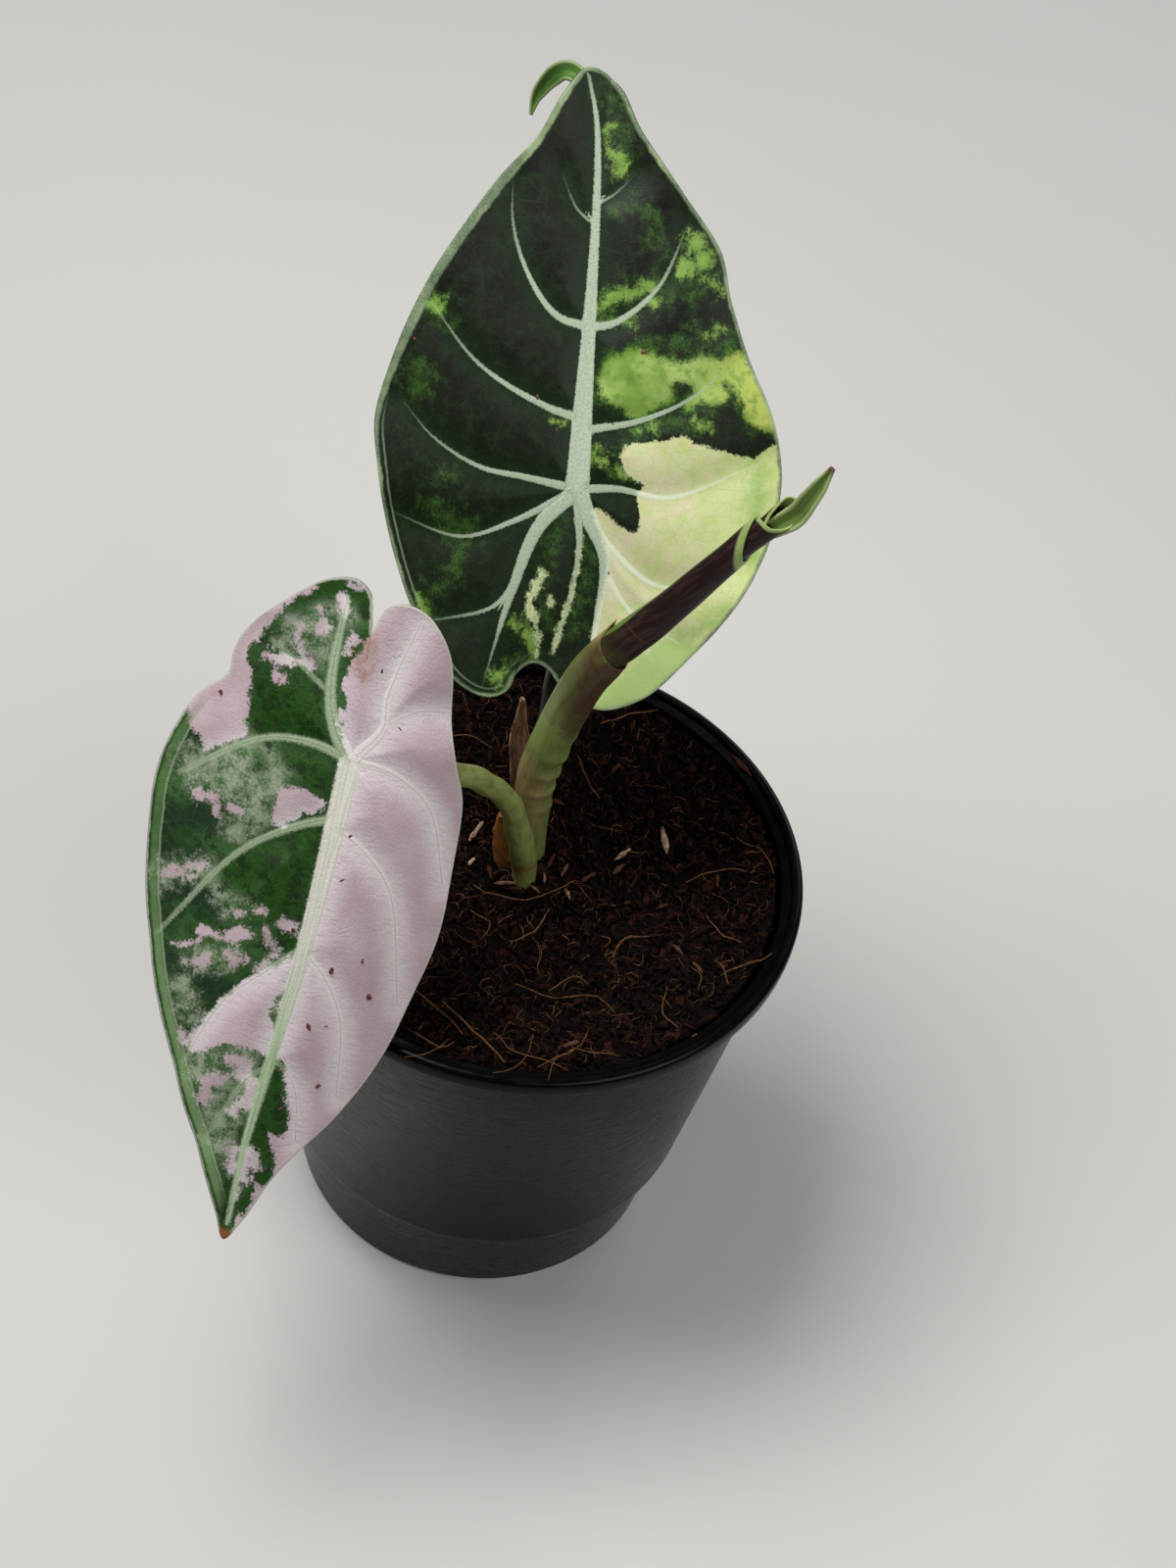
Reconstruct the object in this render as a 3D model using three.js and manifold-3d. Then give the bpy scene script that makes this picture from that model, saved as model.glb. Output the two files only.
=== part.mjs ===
// Potted alocasia: two variegated leaves and a rolled new leaf in a plastic nursery pot.
// Millimetres, +Z up, the pot's flat underside centred on the origin, -Y towards the viewer.
import * as THREE from 'three';
import { mergeVertices } from 'three/addons/utils/BufferGeometryUtils.js';
import Module from 'manifold-3d';

const wasm = await Module();
wasm.setup();

// Driving dimensions
const POT_HEIGHT = 80;
const RIM_RADIUS = 45;
const WALL = 1.1;
const LIP_WIDTH = 2;
const LIP_DEPTH = 3.6;
const STEP_RADIUS = 36;
const STEP_HEIGHT = 20.5;
const FOOT_TOP_RADIUS = 34;
const FOOT_RADIUS = 32;
const FLOOR_THICKNESS = 1.6;
const DRAIN_HOLES = 8;
const DRAIN_RADIUS = 3.5;
const DRAIN_CIRCLE = 22;
const POT_SIDES = 48;

const CLEARANCE = 0.35;
const SOIL_TOP = 76;
const SOIL_RINGS = 12;
const CHIP_COUNT = 22;
const CHIP_THICKNESS = 1.1;

const RHIZOME_AT = [0, -0.6];
const RHIZOME_RADIUS = 7.4;
const RHIZOME_BOTTOM = 60;
const RHIZOME_TOP = SOIL_TOP - 0.6;
const ROOT_OF_STEMS = 66;

const BLADE_THICKNESS = 0.8;
const BLADE_SPOKES = 66;
const BLADE_RINGS = 9;
const QUILT_REACH = 3;
const VEIN_STEPS = 5;
const MIDRIB_HALF_WIDTH = 1.7;
const MIDRIB_DEPTH = 1.1;
const VEIN_HALF_WIDTH = 0.9;
const VEIN_DEPTH = 0.7;

const { Vector3, CatmullRomCurve3 } = THREE;

// A small repeatable random source, so that the soil is the same each time
function randomSource(seed) {
  let state = seed;
  return () => {
    state = (state * 1664525 + 1013904223) % 4294967296;
    return state / 4294967296;
  };
}

// Closed solids from points and triangles
function indexedGeometry(points, triangles) {
  const geometry = new THREE.BufferGeometry().setFromPoints(points);
  geometry.setIndex(triangles.flat());
  return geometry;
}

function signedVolume(points, triangles) {
  const cross = new Vector3();
  return triangles.reduce((sum, [a, b, c]) => {
    cross.crossVectors(points[b], points[c]);
    return sum + points[a].dot(cross);
  }, 0);
}

// Turns all faces outwards
function outward(points, triangles) {
  if (signedVolume(points, triangles) < 0) {
    triangles.forEach((corner) => corner.reverse());
  }
  return indexedGeometry(points, triangles);
}

// Joins rings of equal length into a skin and closes its two ends
function closeRings(rings) {
  const sides = rings[0].length;
  const points = rings.flat();
  const triangles = [];
  for (let i = 0; i + 1 < rings.length; i += 1) {
    for (let j = 0; j < sides; j += 1) {
      const a = i * sides + j;
      const b = i * sides + ((j + 1) % sides);
      triangles.push([a, b, b + sides], [a, b + sides, a + sides]);
    }
  }
  const middle = (ring) => ring.reduce((sum, p) => sum.add(p), new Vector3()).divideScalar(sides);
  const lastRing = (rings.length - 1) * sides;
  const start = points.push(middle(rings[0])) - 1;
  const end = points.push(middle(rings[rings.length - 1])) - 1;
  for (let j = 0; j < sides; j += 1) {
    const next = (j + 1) % sides;
    triangles.push([start, next, j], [end, lastRing + j, lastRing + next]);
  }
  return outward(points, triangles);
}

// Carries a section along a path. facing says which way the section's second direction looks.
// A section is a list of [across, up] or [across, up, forward] offsets.
function sweep(path, steps, facing, section) {
  const rings = [];
  for (let i = 0; i <= steps; i += 1) {
    const t = i / steps;
    const centre = path.getPointAt(t);
    const forward = path.getTangentAt(t);
    const side = new Vector3().crossVectors(forward, facing).normalize();
    const up = new Vector3().crossVectors(side, forward);
    rings.push(section(t).map(([a, b, c = 0]) => centre.clone()
      .addScaledVector(side, a).addScaledVector(up, b).addScaledVector(forward, c)));
  }
  return closeRings(rings);
}

function circle(radius, sides) {
  return Array.from({ length: sides }, (_, i) => {
    const angle = (2 * Math.PI * i) / sides;
    return [radius * Math.cos(angle), radius * Math.sin(angle)];
  });
}

function curve(points) {
  return new CatmullRomCurve3(points.map((p) => new Vector3(...p)), false, 'centripetal');
}

// Reads a value off a list of equally spaced stops
function stopValue(stops, t) {
  const place = Math.min(t, 1) * (stops.length - 1);
  const i = Math.min(Math.floor(place), stops.length - 2);
  return THREE.MathUtils.lerp(stops[i], stops[i + 1], place - i);
}

// Boolean joins and cuts
function toSolid(geometry) {
  const bare = geometry.clone();
  bare.deleteAttribute('normal');
  bare.deleteAttribute('uv');
  const merged = mergeVertices(bare, 1e-4);
  return new wasm.Manifold(new wasm.Mesh({
    numProp: 3,
    vertProperties: new Float32Array(merged.attributes.position.array),
    triVerts: new Uint32Array(merged.index.array),
  }));
}

function toGeometry(solid) {
  const mesh = solid.getMesh();
  const geometry = new THREE.BufferGeometry();
  geometry.setAttribute('position', new THREE.BufferAttribute(mesh.vertProperties, 3));
  geometry.setIndex(new THREE.BufferAttribute(mesh.triVerts, 1));
  return geometry;
}

function join(geometries) {
  return toGeometry(geometries.map(toSolid).reduce((whole, piece) => whole.add(piece)));
}

function cut(geometry, tools) {
  return toGeometry(tools.map(toSolid).reduce((rest, tool) => rest.subtract(tool), toSolid(geometry)));
}

// Pot: thin moulded wall with a stepped foot, a rolled lip and drain holes in a flat floor
function potInnerRadius(z) {
  const wallFoot = STEP_RADIUS - WALL;
  const wallTop = RIM_RADIUS - LIP_WIDTH - WALL;
  const rise = (z - STEP_HEIGHT) / (POT_HEIGHT - STEP_HEIGHT);
  return THREE.MathUtils.lerp(wallFoot, wallTop, rise);
}

// The outline runs out along the underside, up the outside, over the lip and back down the inside
function potGeometry() {
  const lipUnder = POT_HEIGHT - LIP_DEPTH;
  const wallRadius = potInnerRadius(lipUnder) + WALL;
  const profile = [
    [0, 0],
    [FOOT_RADIUS - 1, 0],
    [FOOT_RADIUS, 0.8],
    [FOOT_TOP_RADIUS, STEP_HEIGHT - 2.5],
    [STEP_RADIUS - 0.3, STEP_HEIGHT - 1.2],
    [STEP_RADIUS, STEP_HEIGHT],
    [wallRadius, lipUnder],
    [RIM_RADIUS - 0.3, lipUnder + 0.3],
    [RIM_RADIUS, lipUnder + 1.2],
    [RIM_RADIUS - 0.1, POT_HEIGHT - 0.9],
    [RIM_RADIUS - 0.8, POT_HEIGHT],
    [RIM_RADIUS - 1.9, POT_HEIGHT - 0.1],
    [potInnerRadius(POT_HEIGHT - 1.2), POT_HEIGHT - 1.2],
    [STEP_RADIUS - WALL, STEP_HEIGHT + 0.4],
    [FOOT_TOP_RADIUS - WALL, STEP_HEIGHT - 2.2],
    [FOOT_RADIUS - WALL, FLOOR_THICKNESS],
    [0, FLOOR_THICKNESS],
  ].map(([r, z]) => new THREE.Vector2(r, z));
  const body = new THREE.LatheGeometry(profile, POT_SIDES).rotateX(Math.PI / 2);
  const holes = Array.from({ length: DRAIN_HOLES }, (_, i) => {
    const angle = (2 * Math.PI * (i + 0.5)) / DRAIN_HOLES;
    return new THREE.CylinderGeometry(DRAIN_RADIUS, DRAIN_RADIUS, 4 * FLOOR_THICKNESS, 12)
      .rotateX(Math.PI / 2)
      .translate(DRAIN_CIRCLE * Math.cos(angle), DRAIN_CIRCLE * Math.sin(angle), 0);
  });
  return cut(body, holes);
}

// Soil: coarse coir filling the pot, its top in lumps and hollows, with bark chips lying on it
function soilHeight(x, y) {
  const swell = 0.5 * Math.sin(x * 0.19 + 1) * Math.cos(y * 0.16 - 0.6);
  const lumps = 0.45 * Math.sin(x * 0.83 + 2 * Math.sin(y * 0.41)) * Math.sin(y * 0.91 + x * 0.2);
  const edge = Math.hypot(x, y) / (RIM_RADIUS - LIP_WIDTH);
  return SOIL_TOP + swell + lumps - 0.9 * edge ** 6;
}

function soilChips(random) {
  return Array.from({ length: CHIP_COUNT }, () => {
    const distance = THREE.MathUtils.lerp(10, RIM_RADIUS - 6, Math.sqrt(random()));
    const angle = 2 * Math.PI * random();
    const x = distance * Math.cos(angle);
    const y = distance * Math.sin(angle);
    const length = 2 + 3 * random();
    const width = 1 + random();
    const tilt = () => 0.5 * (random() - 0.5);
    return new THREE.BoxGeometry(length, width, CHIP_THICKNESS)
      .rotateX(tilt())
      .rotateY(tilt())
      .rotateZ(Math.PI * random())
      .translate(x, y, soilHeight(x, y) + 0.15);
  });
}

function soilGeometry() {
  const rings = [];
  const ring = (radius, height) => Array.from({ length: POT_SIDES }, (_, i) => {
    const angle = (2 * Math.PI * i) / POT_SIDES;
    const x = radius * Math.cos(angle);
    const y = radius * Math.sin(angle);
    return new Vector3(x, y, height(x, y));
  });
  const level = (z) => () => z;
  const bottom = FLOOR_THICKNESS + CLEARANCE;
  const snug = CLEARANCE + 0.1;
  rings.push(ring(FOOT_RADIUS - WALL - snug, level(bottom)));
  rings.push(ring(FOOT_TOP_RADIUS - WALL - snug, level(STEP_HEIGHT - 2)));
  rings.push(ring(STEP_RADIUS - WALL - snug, level(STEP_HEIGHT + 1)));
  for (let i = 0; i < SOIL_RINGS; i += 1) {
    const radius = (potInnerRadius(SOIL_TOP - 1.5) - snug) * (1 - i / SOIL_RINGS) ** 0.85;
    rings.push(ring(radius, soilHeight));
  }
  const filled = join([closeRings(rings), ...soilChips(randomSource(7))]);
  const holeRadius = RHIZOME_RADIUS + CLEARANCE;
  const holeDepth = 30;
  const hole = new THREE.CylinderGeometry(holeRadius, holeRadius, holeDepth, 28)
    .rotateX(Math.PI / 2)
    .translate(...RHIZOME_AT, RHIZOME_BOTTOM - CLEARANCE + holeDepth / 2);
  return cut(filled, [hole]);
}

// Leaves: a blade is described in its own plane, in mm from where the petiole meets it:
// the first number runs towards the tip, the second to the right seen with the tip up.
function leafFrame({ junction, toTip, facing }) {
  const tip = new Vector3(...toTip).normalize();
  const face = new Vector3(...facing);
  face.addScaledVector(tip, -face.dot(tip)).normalize();
  return { origin: new Vector3(...junction), tip, face, right: new Vector3().crossVectors(tip, face) };
}

function leafPoint(frame, p, q, n) {
  return frame.origin.clone().addScaledVector(frame.tip, p)
    .addScaledVector(frame.right, q).addScaledVector(frame.face, n);
}

const backLeaf = {
  frame: leafFrame({ junction: [-2.8, 26, 134.4], toTip: [-0.1, 0.6, 0.79], facing: [0.02, -0.79, 0.61] }),
  outline: [
    [61.8, -3.6], [59.6, 1], [53.3, 4.9], [44.4, 12.2], [36.8, 18.2], [29.5, 20.5], [20.7, 24.3],
    [13.2, 28.2], [5.5, 30.4], [-3, 30.1], [-11.9, 27.4], [-19.3, 23], [-25.6, 18], [-30.6, 12.9],
    [-33, 7], [-32.4, 3.4], [-30, 0], [-27.6, -2.2], [-26.9, -4.8], [-28.8, -7], [-31.6, -8.3],
    [-32.7, -11], [-31.2, -15.1], [-25.4, -20.3], [-18.1, -24.3], [-7.3, -28.3], [1, -30.1],
    [8.4, -31.1], [16.9, -29.2], [28, -25.2], [36.7, -20.5], [44.9, -15.3], [51, -10.4], [57.9, -6.8],
  ],
  // Shallow trough with arched halves; the last third folds up towards the tip
  bend(p, q) {
    const fold = THREE.MathUtils.clamp((p - 38) / 24, 0, 1) ** 2;
    const beyond = Math.max(p, 0);
    return -0.002 * beyond ** 2 + (0.1 + 0.45 * fold) * Math.abs(q) - 0.0035 * q ** 2;
  },
  quilt: 0.7,
  wave: 0.7,
  waves: 7,
  midrib: [[0, 0], [15, -0.2], [30, -0.4], [45, -0.9], [54, -1.8], [60.5, -3.6]],
  veins: [
    [[39, -0.7], [41, -3.5], [46, -6.2]],
    [[24, -0.4], [25.4, -5.4], [31, -10], [38, -12.8], [45, -13.4]],
    [[10.5, -0.3], [12, -6], [17.4, -16.3], [27, -25]],
    [[0, 0], [1.2, -8], [2.2, -15], [6, -22.2], [11, -27.2]],
    [[0, 0], [-5.8, -9.7], [-8.5, -17], [-5.5, -28]],
    [[0, 0], [-6.2, -5.4], [-17, -8.8], [-31.3, -12]],
    [[-13.5, -7.8], [-18.5, -11], [-21.8, -21]],
    [[0, 0], [-8, 1], [-15, 0.6], [-24.5, -1.6]],
    [[0, 0], [-5, 2.6], [-10, 5], [-20, 4.6], [-29, 4.2]],
    [[42, -0.7], [43.6, 1.8], [47, 4.8]],
    [[24, -0.3], [25, 3.5], [30.6, 9.4], [40.5, 13.2]],
    [[8.8, 0], [11, 8.5], [15.3, 16.3], [22, 22.3]],
    [[0, 0], [0.6, 6], [0, 14], [7, 28]],
    [[-4, 2.2], [-8.2, 5.6], [-13.5, 14], [-10, 25]],
    [[-12, 5.2], [-18, 10], [-22, 17.5]],
  ],
};

const frontLeaf = {
  frame: leafFrame({ junction: [-26.8, -25, 122], toTip: [-0.085, -0.62, -0.78], facing: [0.08, -0.6, 0.8] }),
  outline: [
    [75.7, 0], [71.2, 2.4], [63.2, 6.5], [56, 10.6], [47.5, 15.1], [39.1, 19.2], [27, 23.6],
    [16.2, 25.7], [9.4, 26.3], [3.3, 25.3], [-3, 22.9], [-6.9, 19.6], [-10.6, 19.6], [-14.6, 18.3],
    [-19.9, 14.1], [-23.5, 10], [-24.8, 5.6], [-23.4, 3.2], [-20.6, 2.3], [-18, 1.7], [-20.4, 1.1],
    [-22.4, 0.4], [-23.3, -2.4], [-22.1, -6], [-17.6, -9.7], [-8.1, -12.3], [-2.8, -14.4],
    [2.9, -16.8], [12.3, -18], [23.3, -18.7], [32.1, -17.6], [42.2, -15.6], [50.9, -12.4],
    [58.4, -8], [63.5, -4.9], [72.2, -2],
  ],
  // Both halves hang away from the midrib, more so on the right, and the tip droops
  bend(p, q) {
    const droop = q > 0 ? 0.012 : 0.026;
    return -0.0012 * Math.max(p, 0) ** 2 - droop * q ** 2;
  },
  quilt: 0.8,
  wave: 0.6,
  waves: 6,
  midrib: [[0, 0], [15, -0.4], [30, -0.5], [45, 0], [60, 0.5], [73, 0]],
  veins: [
    [[0, 0], [-4, 3.3], [-9, 5.2], [-22, 6.2]],
    [[-8.5, 5.2], [-11.4, 10.5], [-13.5, 15]],
    [[0, 0], [-1, 6], [0.4, 12.6], [9, 23]],
    [[8.5, -0.2], [11, 4.8], [17, 11.7], [33, 20.5]],
    [[28, -0.5], [33, 3.9], [39, 8.6], [50, 12.2]],
    [[47, 0], [49.3, 2.4], [60, 6.2]],
    [[0, 0], [-5.5, -3.2], [-10, -2.7], [-21.5, -4.5]],
    [[-6, -3.2], [-9, -7.5], [-9.5, -11.5]],
    [[0, 0], [0.4, -5.7], [4.3, -12.1], [16, -17.4]],
    [[10, -0.4], [11.8, -4.2], [17.2, -9.8], [35, -15.6]],
    [[28.5, -0.5], [32, -4.4], [38, -8], [50, -10.4]],
    [[45, 0], [49.4, -4.2], [58, -6.4]],
  ],
};

function planeCurve(points) {
  return curve(points.map(([p, q]) => [p, q, 0]));
}

// Gives a leaf's height over its plane: the bend, soft pillows between the veins, waves at the edge
function leafHeight(leaf) {
  const lines = [leaf.midrib, ...leaf.veins].map((vein) => planeCurve(vein).getSpacedPoints(12));
  const nearest = new Vector3();
  const segment = new THREE.Line3();
  return (p, q, outwards) => {
    const point = new Vector3(p, q, 0);
    let distance = Infinity;
    lines.forEach((line) => {
      for (let i = 0; i + 1 < line.length; i += 1) {
        segment.set(line[i], line[i + 1]).closestPointToPoint(point, true, nearest);
        distance = Math.min(distance, nearest.distanceTo(point));
      }
    });
    const pillow = leaf.quilt * (1 - Math.exp(-((distance / QUILT_REACH) ** 2)));
    const ripple = leaf.wave * outwards ** 4 * Math.sin(leaf.waves * Math.atan2(q, p));
    return leaf.bend(p, q) + pillow + ripple;
  };
}

// The blade as one thin sheet on spokes from the junction, split into triangles alike on both faces
function bladeSheet(leaf, height) {
  const corners = leaf.outline.map(([p, q]) => new Vector3(p, q, 0));
  const outline = new CatmullRomCurve3(corners, true, 'centripetal');
  const edge = outline.getSpacedPoints(BLADE_SPOKES).slice(0, BLADE_SPOKES);
  const places = [[0, 0, 0]];
  for (let k = 1; k <= BLADE_RINGS; k += 1) {
    const share = (k / BLADE_RINGS) ** 0.85;
    edge.forEach((rim) => places.push([rim.x * share, rim.y * share, share]));
  }
  const nudge = 0.05;
  const half = BLADE_THICKNESS / 2;
  const faces = [half, -half].map((offset) => places.map(([p, q, share]) => {
    const h = height(p, q, share);
    const slopeP = (leaf.bend(p + nudge, q) - leaf.bend(p, q)) / nudge;
    const slopeQ = (leaf.bend(p, q + nudge) - leaf.bend(p, q)) / nudge;
    const length = Math.hypot(slopeP, slopeQ, 1);
    return leafPoint(
      leaf.frame,
      p - (offset * slopeP) / length,
      q - (offset * slopeQ) / length,
      h + offset / length,
    );
  }));
  const count = places.length;
  const triangles = [];
  const bothFaces = (a, b, c) => triangles.push([a, b, c], [count + a, count + c, count + b]);
  const at = (ring, spoke) => 1 + (ring - 1) * BLADE_SPOKES + (spoke % BLADE_SPOKES);
  for (let i = 0; i < BLADE_SPOKES; i += 1) {
    bothFaces(0, at(1, i), at(1, i + 1));
    for (let k = 1; k < BLADE_RINGS; k += 1) {
      bothFaces(at(k, i), at(k + 1, i), at(k + 1, i + 1));
      bothFaces(at(k, i), at(k + 1, i + 1), at(k, i + 1));
    }
    const a = at(BLADE_RINGS, i);
    const b = at(BLADE_RINGS, i + 1);
    triangles.push([a, count + a, count + b], [a, count + b, b]);
  }
  return outward(faces.flat(), triangles);
}

// A vein follows the blade just under its upper face. Its section tapers from root to end.
function veinRib(leaf, height, points, steps, section) {
  const line = planeCurve(points).getSpacedPoints(steps);
  const path = new CatmullRomCurve3(line.map(({ x, y }) => leafPoint(leaf.frame, x, y, height(x, y, 0))));
  return sweep(path, steps, leaf.frame.face, section);
}

// The midrib stands out on both faces
function midribSection(t) {
  const width = THREE.MathUtils.lerp(MIDRIB_HALF_WIDTH, 0.3, t);
  const top = THREE.MathUtils.lerp(BLADE_THICKNESS / 2 + 0.25, 0.2, t ** 1.5);
  const under = -THREE.MathUtils.lerp(BLADE_THICKNESS / 2 + MIDRIB_DEPTH, 0.2, t ** 1.5);
  return [[-width, 0], [-width * 0.5, under], [width * 0.5, under], [width, 0], [0, top]];
}

// The side veins stand out below only, and sink into the blade before its edge
function sideVeinSection(t) {
  const width = THREE.MathUtils.lerp(VEIN_HALF_WIDTH, 0.3, t);
  const under = -THREE.MathUtils.lerp(BLADE_THICKNESS / 2 + VEIN_DEPTH, 0.35, t ** 1.5);
  return [[-width, -0.15], [0, under], [width, -0.15]];
}

function bladeGeometry(leaf, extras = []) {
  const height = leafHeight(leaf);
  const midrib = veinRib(leaf, height, leaf.midrib, 14, midribSection);
  const sideVeins = leaf.veins.map((vein) => veinRib(leaf, height, vein, VEIN_STEPS, sideVeinSection));
  return join([bladeSheet(leaf, height), midrib, ...sideVeins, ...extras]);
}

// Section of a narrow blade folded up along its middle
function troughSection(width, fold) {
  const half = BLADE_THICKNESS / 2;
  return [[-width, fold], [0, half], [width, fold], [width, fold - half], [0, -half], [-width, fold - half]];
}

// The drawn-out tip of the back leaf, curled over to the left
function curledTip() {
  const path = curve([[-12.6, 65.6, 176.6], [-14, 67.4, 177.7], [-15.5, 68.6, 177.6],
    [-16.9, 69.3, 176.7], [-18.7, 69.6, 174.2], [-19.9, 69, 171.7], [-20.2, 67.5, 169.6]]);
  return sweep(path, 10, new Vector3(0.1, -0.8, 0.6), (t) => {
    const width = stopValue([1.2, 1.5, 1.6, 1.3, 0.4], t);
    return troughSection(width, 0.35 * width);
  });
}

// Stems: round stalks whose radius follows a list of stops from the root upwards
const SIDEWAYS = new Vector3(1, 0, 0);

const sheathStem = {
  path: curve([[0.9, 2.2, ROOT_OF_STEMS], [0.4, 1.7, 75], [-0.3, 1.8, 82.3], [-0.7, 1.6, 89.7],
    [-0.9, 1.5, 96.8], [0.2, 1.3, 104.2], [1.7, 1.3, 112], [3.6, 1.5, 119], [5.3, 1.8, 123],
    [7.2, 2, 126.4]]),
  radii: [2.1, 2.4, 2.7, 2.9, 3, 3.1, 3.2, 3.4, 3.8],
};

const rolledLeaf = {
  path: curve([[1.2, 1.3, 110], [3.6, 1.5, 119], [5.8, 1.9, 124.4], [8.4, 2.1, 128.3],
    [11.5, 2.6, 132.5], [16.2, 3.2, 140], [19, 3.4, 144.9], [21, 3.6, 148.3]]),
  radii: [1.5, 2.2, 2.7, 3, 2.9, 2.6, 2.4, 2.2],
};

const rolledTip = {
  path: curve([[18.2, 3.3, 143.3], [21.6, 3.7, 149.3], [23.3, 3.9, 151.8], [26.2, 4.2, 155.9]]),
  radii: [1.6, 1.9, 1.9, 1.7],
};

const frontStalk = {
  path: curve([[0.2, -3.6, ROOT_OF_STEMS], [0, -3.9, 79.9], [-0.9, -4, 85.1], [-2.3, -4.3, 90.3],
    [-3.4, -4.8, 94.7], [-5.2, -6, 99], [-7.7, -8.5, 103.6], [-10.1, -11.5, 108.1],
    [-12.8, -14.6, 111.4], [-19.5, -19, 115.8]]
    .concat([[1, -1.5, -4.6], [0.1, -0.2, -2.2]].map((at) => leafPoint(frontLeaf.frame, ...at).toArray()))),
  radii: [2, 2.1, 2, 2.15, 1.9, 1.8, 1.85, 1.75, 1.7, 1.7, 1.6],
};

const backStalk = {
  path: curve([[0, 1.6, 81], [-0.4, 5, 92], [-0.4, 11.4, 105.2]]
    .concat([[-20, 0.3, -4.9], [-8, 0, -4.9], [-2, 0, -4], [0, 0, -2.3]]
      .map((at) => leafPoint(backLeaf.frame, ...at).toArray()))),
  radii: [1.7, 1.9, 2, 2, 1.8, 1.7, 1.6],
};

function stalk({ path, radii }, steps, sides, grow = 0) {
  return sweep(path, steps, SIDEWAYS, (t) => circle(stopValue(radii, t) + grow, sides));
}

// The sheath ends in a slanting mouth, high on the left, round the rolled leaf
function sheathGeometry() {
  const mouthRise = 4;
  const outside = sweep(sheathStem.path, 18, SIDEWAYS, (t) => {
    const radius = stopValue(sheathStem.radii, t);
    return circle(radius, 12).map(([a, b]) => [a, b, (-mouthRise * t ** 6 * b) / radius]);
  });
  const socket = stalk(rolledLeaf, 18, 12, CLEARANCE);
  return cut(join([outside, stalk(backStalk, 18, 10)]), [socket]);
}

// The new leaf is still rolled up: its free edge shows as a step that winds along the roll,
// the roll narrows where the outer turn ends, and the tip stands out as a small trough
function rolledLeafGeometry() {
  const spiral = (radius, turn, sides) => circle(1, sides).map((_, i) => {
    const share = i / sides;
    const angle = 2 * Math.PI * share + turn;
    const r = radius * (1 - 0.14 * share);
    return [r * Math.cos(angle), r * Math.sin(angle)];
  });
  const outer = sweep(rolledLeaf.path, 18, SIDEWAYS, (t) => {
    const turn = 2.4 - 1.6 * t;
    return spiral(stopValue(rolledLeaf.radii, t), turn, 12);
  });
  const inner = sweep(rolledTip.path, 8, SIDEWAYS, (t) => spiral(stopValue(rolledTip.radii, t), 0.8 - t, 10));
  const mouthPath = curve([[24.7, 4, 153.7], [27.8, 4.4, 158.1]]);
  const mouth = sweep(mouthPath, 3, SIDEWAYS, (t) => circle(0.7 + 0.6 * t, 8));
  const tipPath = curve([[25.2, 4.1, 153.4], [28.1, 4.4, 156.5], [29.2, 4.5, 159.4], [30.2, 4.7, 162.3],
    [31.1, 5, 165.4]]);
  const tip = sweep(tipPath, 9, new Vector3(-0.5, -0.8, 0.3), (t) => {
    const width = stopValue([1.3, 1.6, 1.45, 1.1, 0.3], t);
    return troughSection(width, 0.5 * width);
  });
  return join([cut(join([outer, inner]), [mouth]), tip]);
}

// Dry scale leaves at the foot: curved slips of thin papery skin. grow makes room round one.
function slip(path, steps, facing, widths, grow) {
  const hollow = 0.6;
  const thickness = 0.7;
  return sweep(path, steps, facing, (t) => {
    const halfWidth = stopValue(widths, t) + grow;
    const outer = [-1, -0.5, 0, 0.5, 1].map((s) => [s * halfWidth, -hollow * (1 - s * s) - grow]);
    const inner = outer.map(([a, b]) => [a, b + thickness + 2 * grow]).reverse();
    return outer.concat(inner);
  });
}

function drySheathGeometry(grow = 0) {
  const path = curve([[-2.8, -1.9, 70], [-3.2, -1.9, 76], [-4.1, -1.9, 81], [-4.9, -1.8, 86],
    [-5.1, -1.8, 89.6]]);
  return slip(path, 9, SIDEWAYS, [2, 2.3, 2.3, 1.7, 0.5], grow);
}

function paperScaleGeometry(grow = 0) {
  const path = curve([[-2.9, 4.8, 70], [-3.2, 4.9, 76], [-3.6, 5.1, 86], [-3.8, 5.4, 91],
    [-4.2, 5.9, 96], [-4.8, 6.3, 100.4], [-5.2, 6.9, 107.4]]);
  return slip(path, 12, new Vector3(0.5, -0.8, 0), [0.9, 0.9, 0.8, 0.9, 1.3, 1.7, 1.5, 0.3], grow);
}

// Rhizome: the short stock in the soil that everything grows from, with a plain hole for each stem
function rhizomeGeometry() {
  const height = RHIZOME_TOP - RHIZOME_BOTTOM;
  const profile = [
    [0, 0], [0.6, 0], [0.92, 0.2], [1, 0.45], [0.94, 0.55], [1, 0.68], [0.96, 0.85], [0.8, 1], [0, 1],
  ].map(([r, z]) => new THREE.Vector2(r * RHIZOME_RADIUS, z * height));
  const stock = new THREE.LatheGeometry(profile, 24).rotateX(Math.PI / 2)
    .translate(...RHIZOME_AT, RHIZOME_BOTTOM);
  const holes = [
    stalk(sheathStem, 18, 12, CLEARANCE),
    stalk(frontStalk, 26, 12, CLEARANCE),
    drySheathGeometry(CLEARANCE),
    paperScaleGeometry(CLEARANCE),
  ];
  return cut(stock, holes.map((hole) => hole.translate(0, 0, -CLEARANCE)));
}

const group = new THREE.Group();

function add(name, geometry, color, roughness) {
  const material = new THREE.MeshStandardMaterial({ color, roughness, metalness: 0 });
  const mesh = new THREE.Mesh(geometry, material);
  mesh.name = name;
  group.add(mesh);
}

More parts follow.
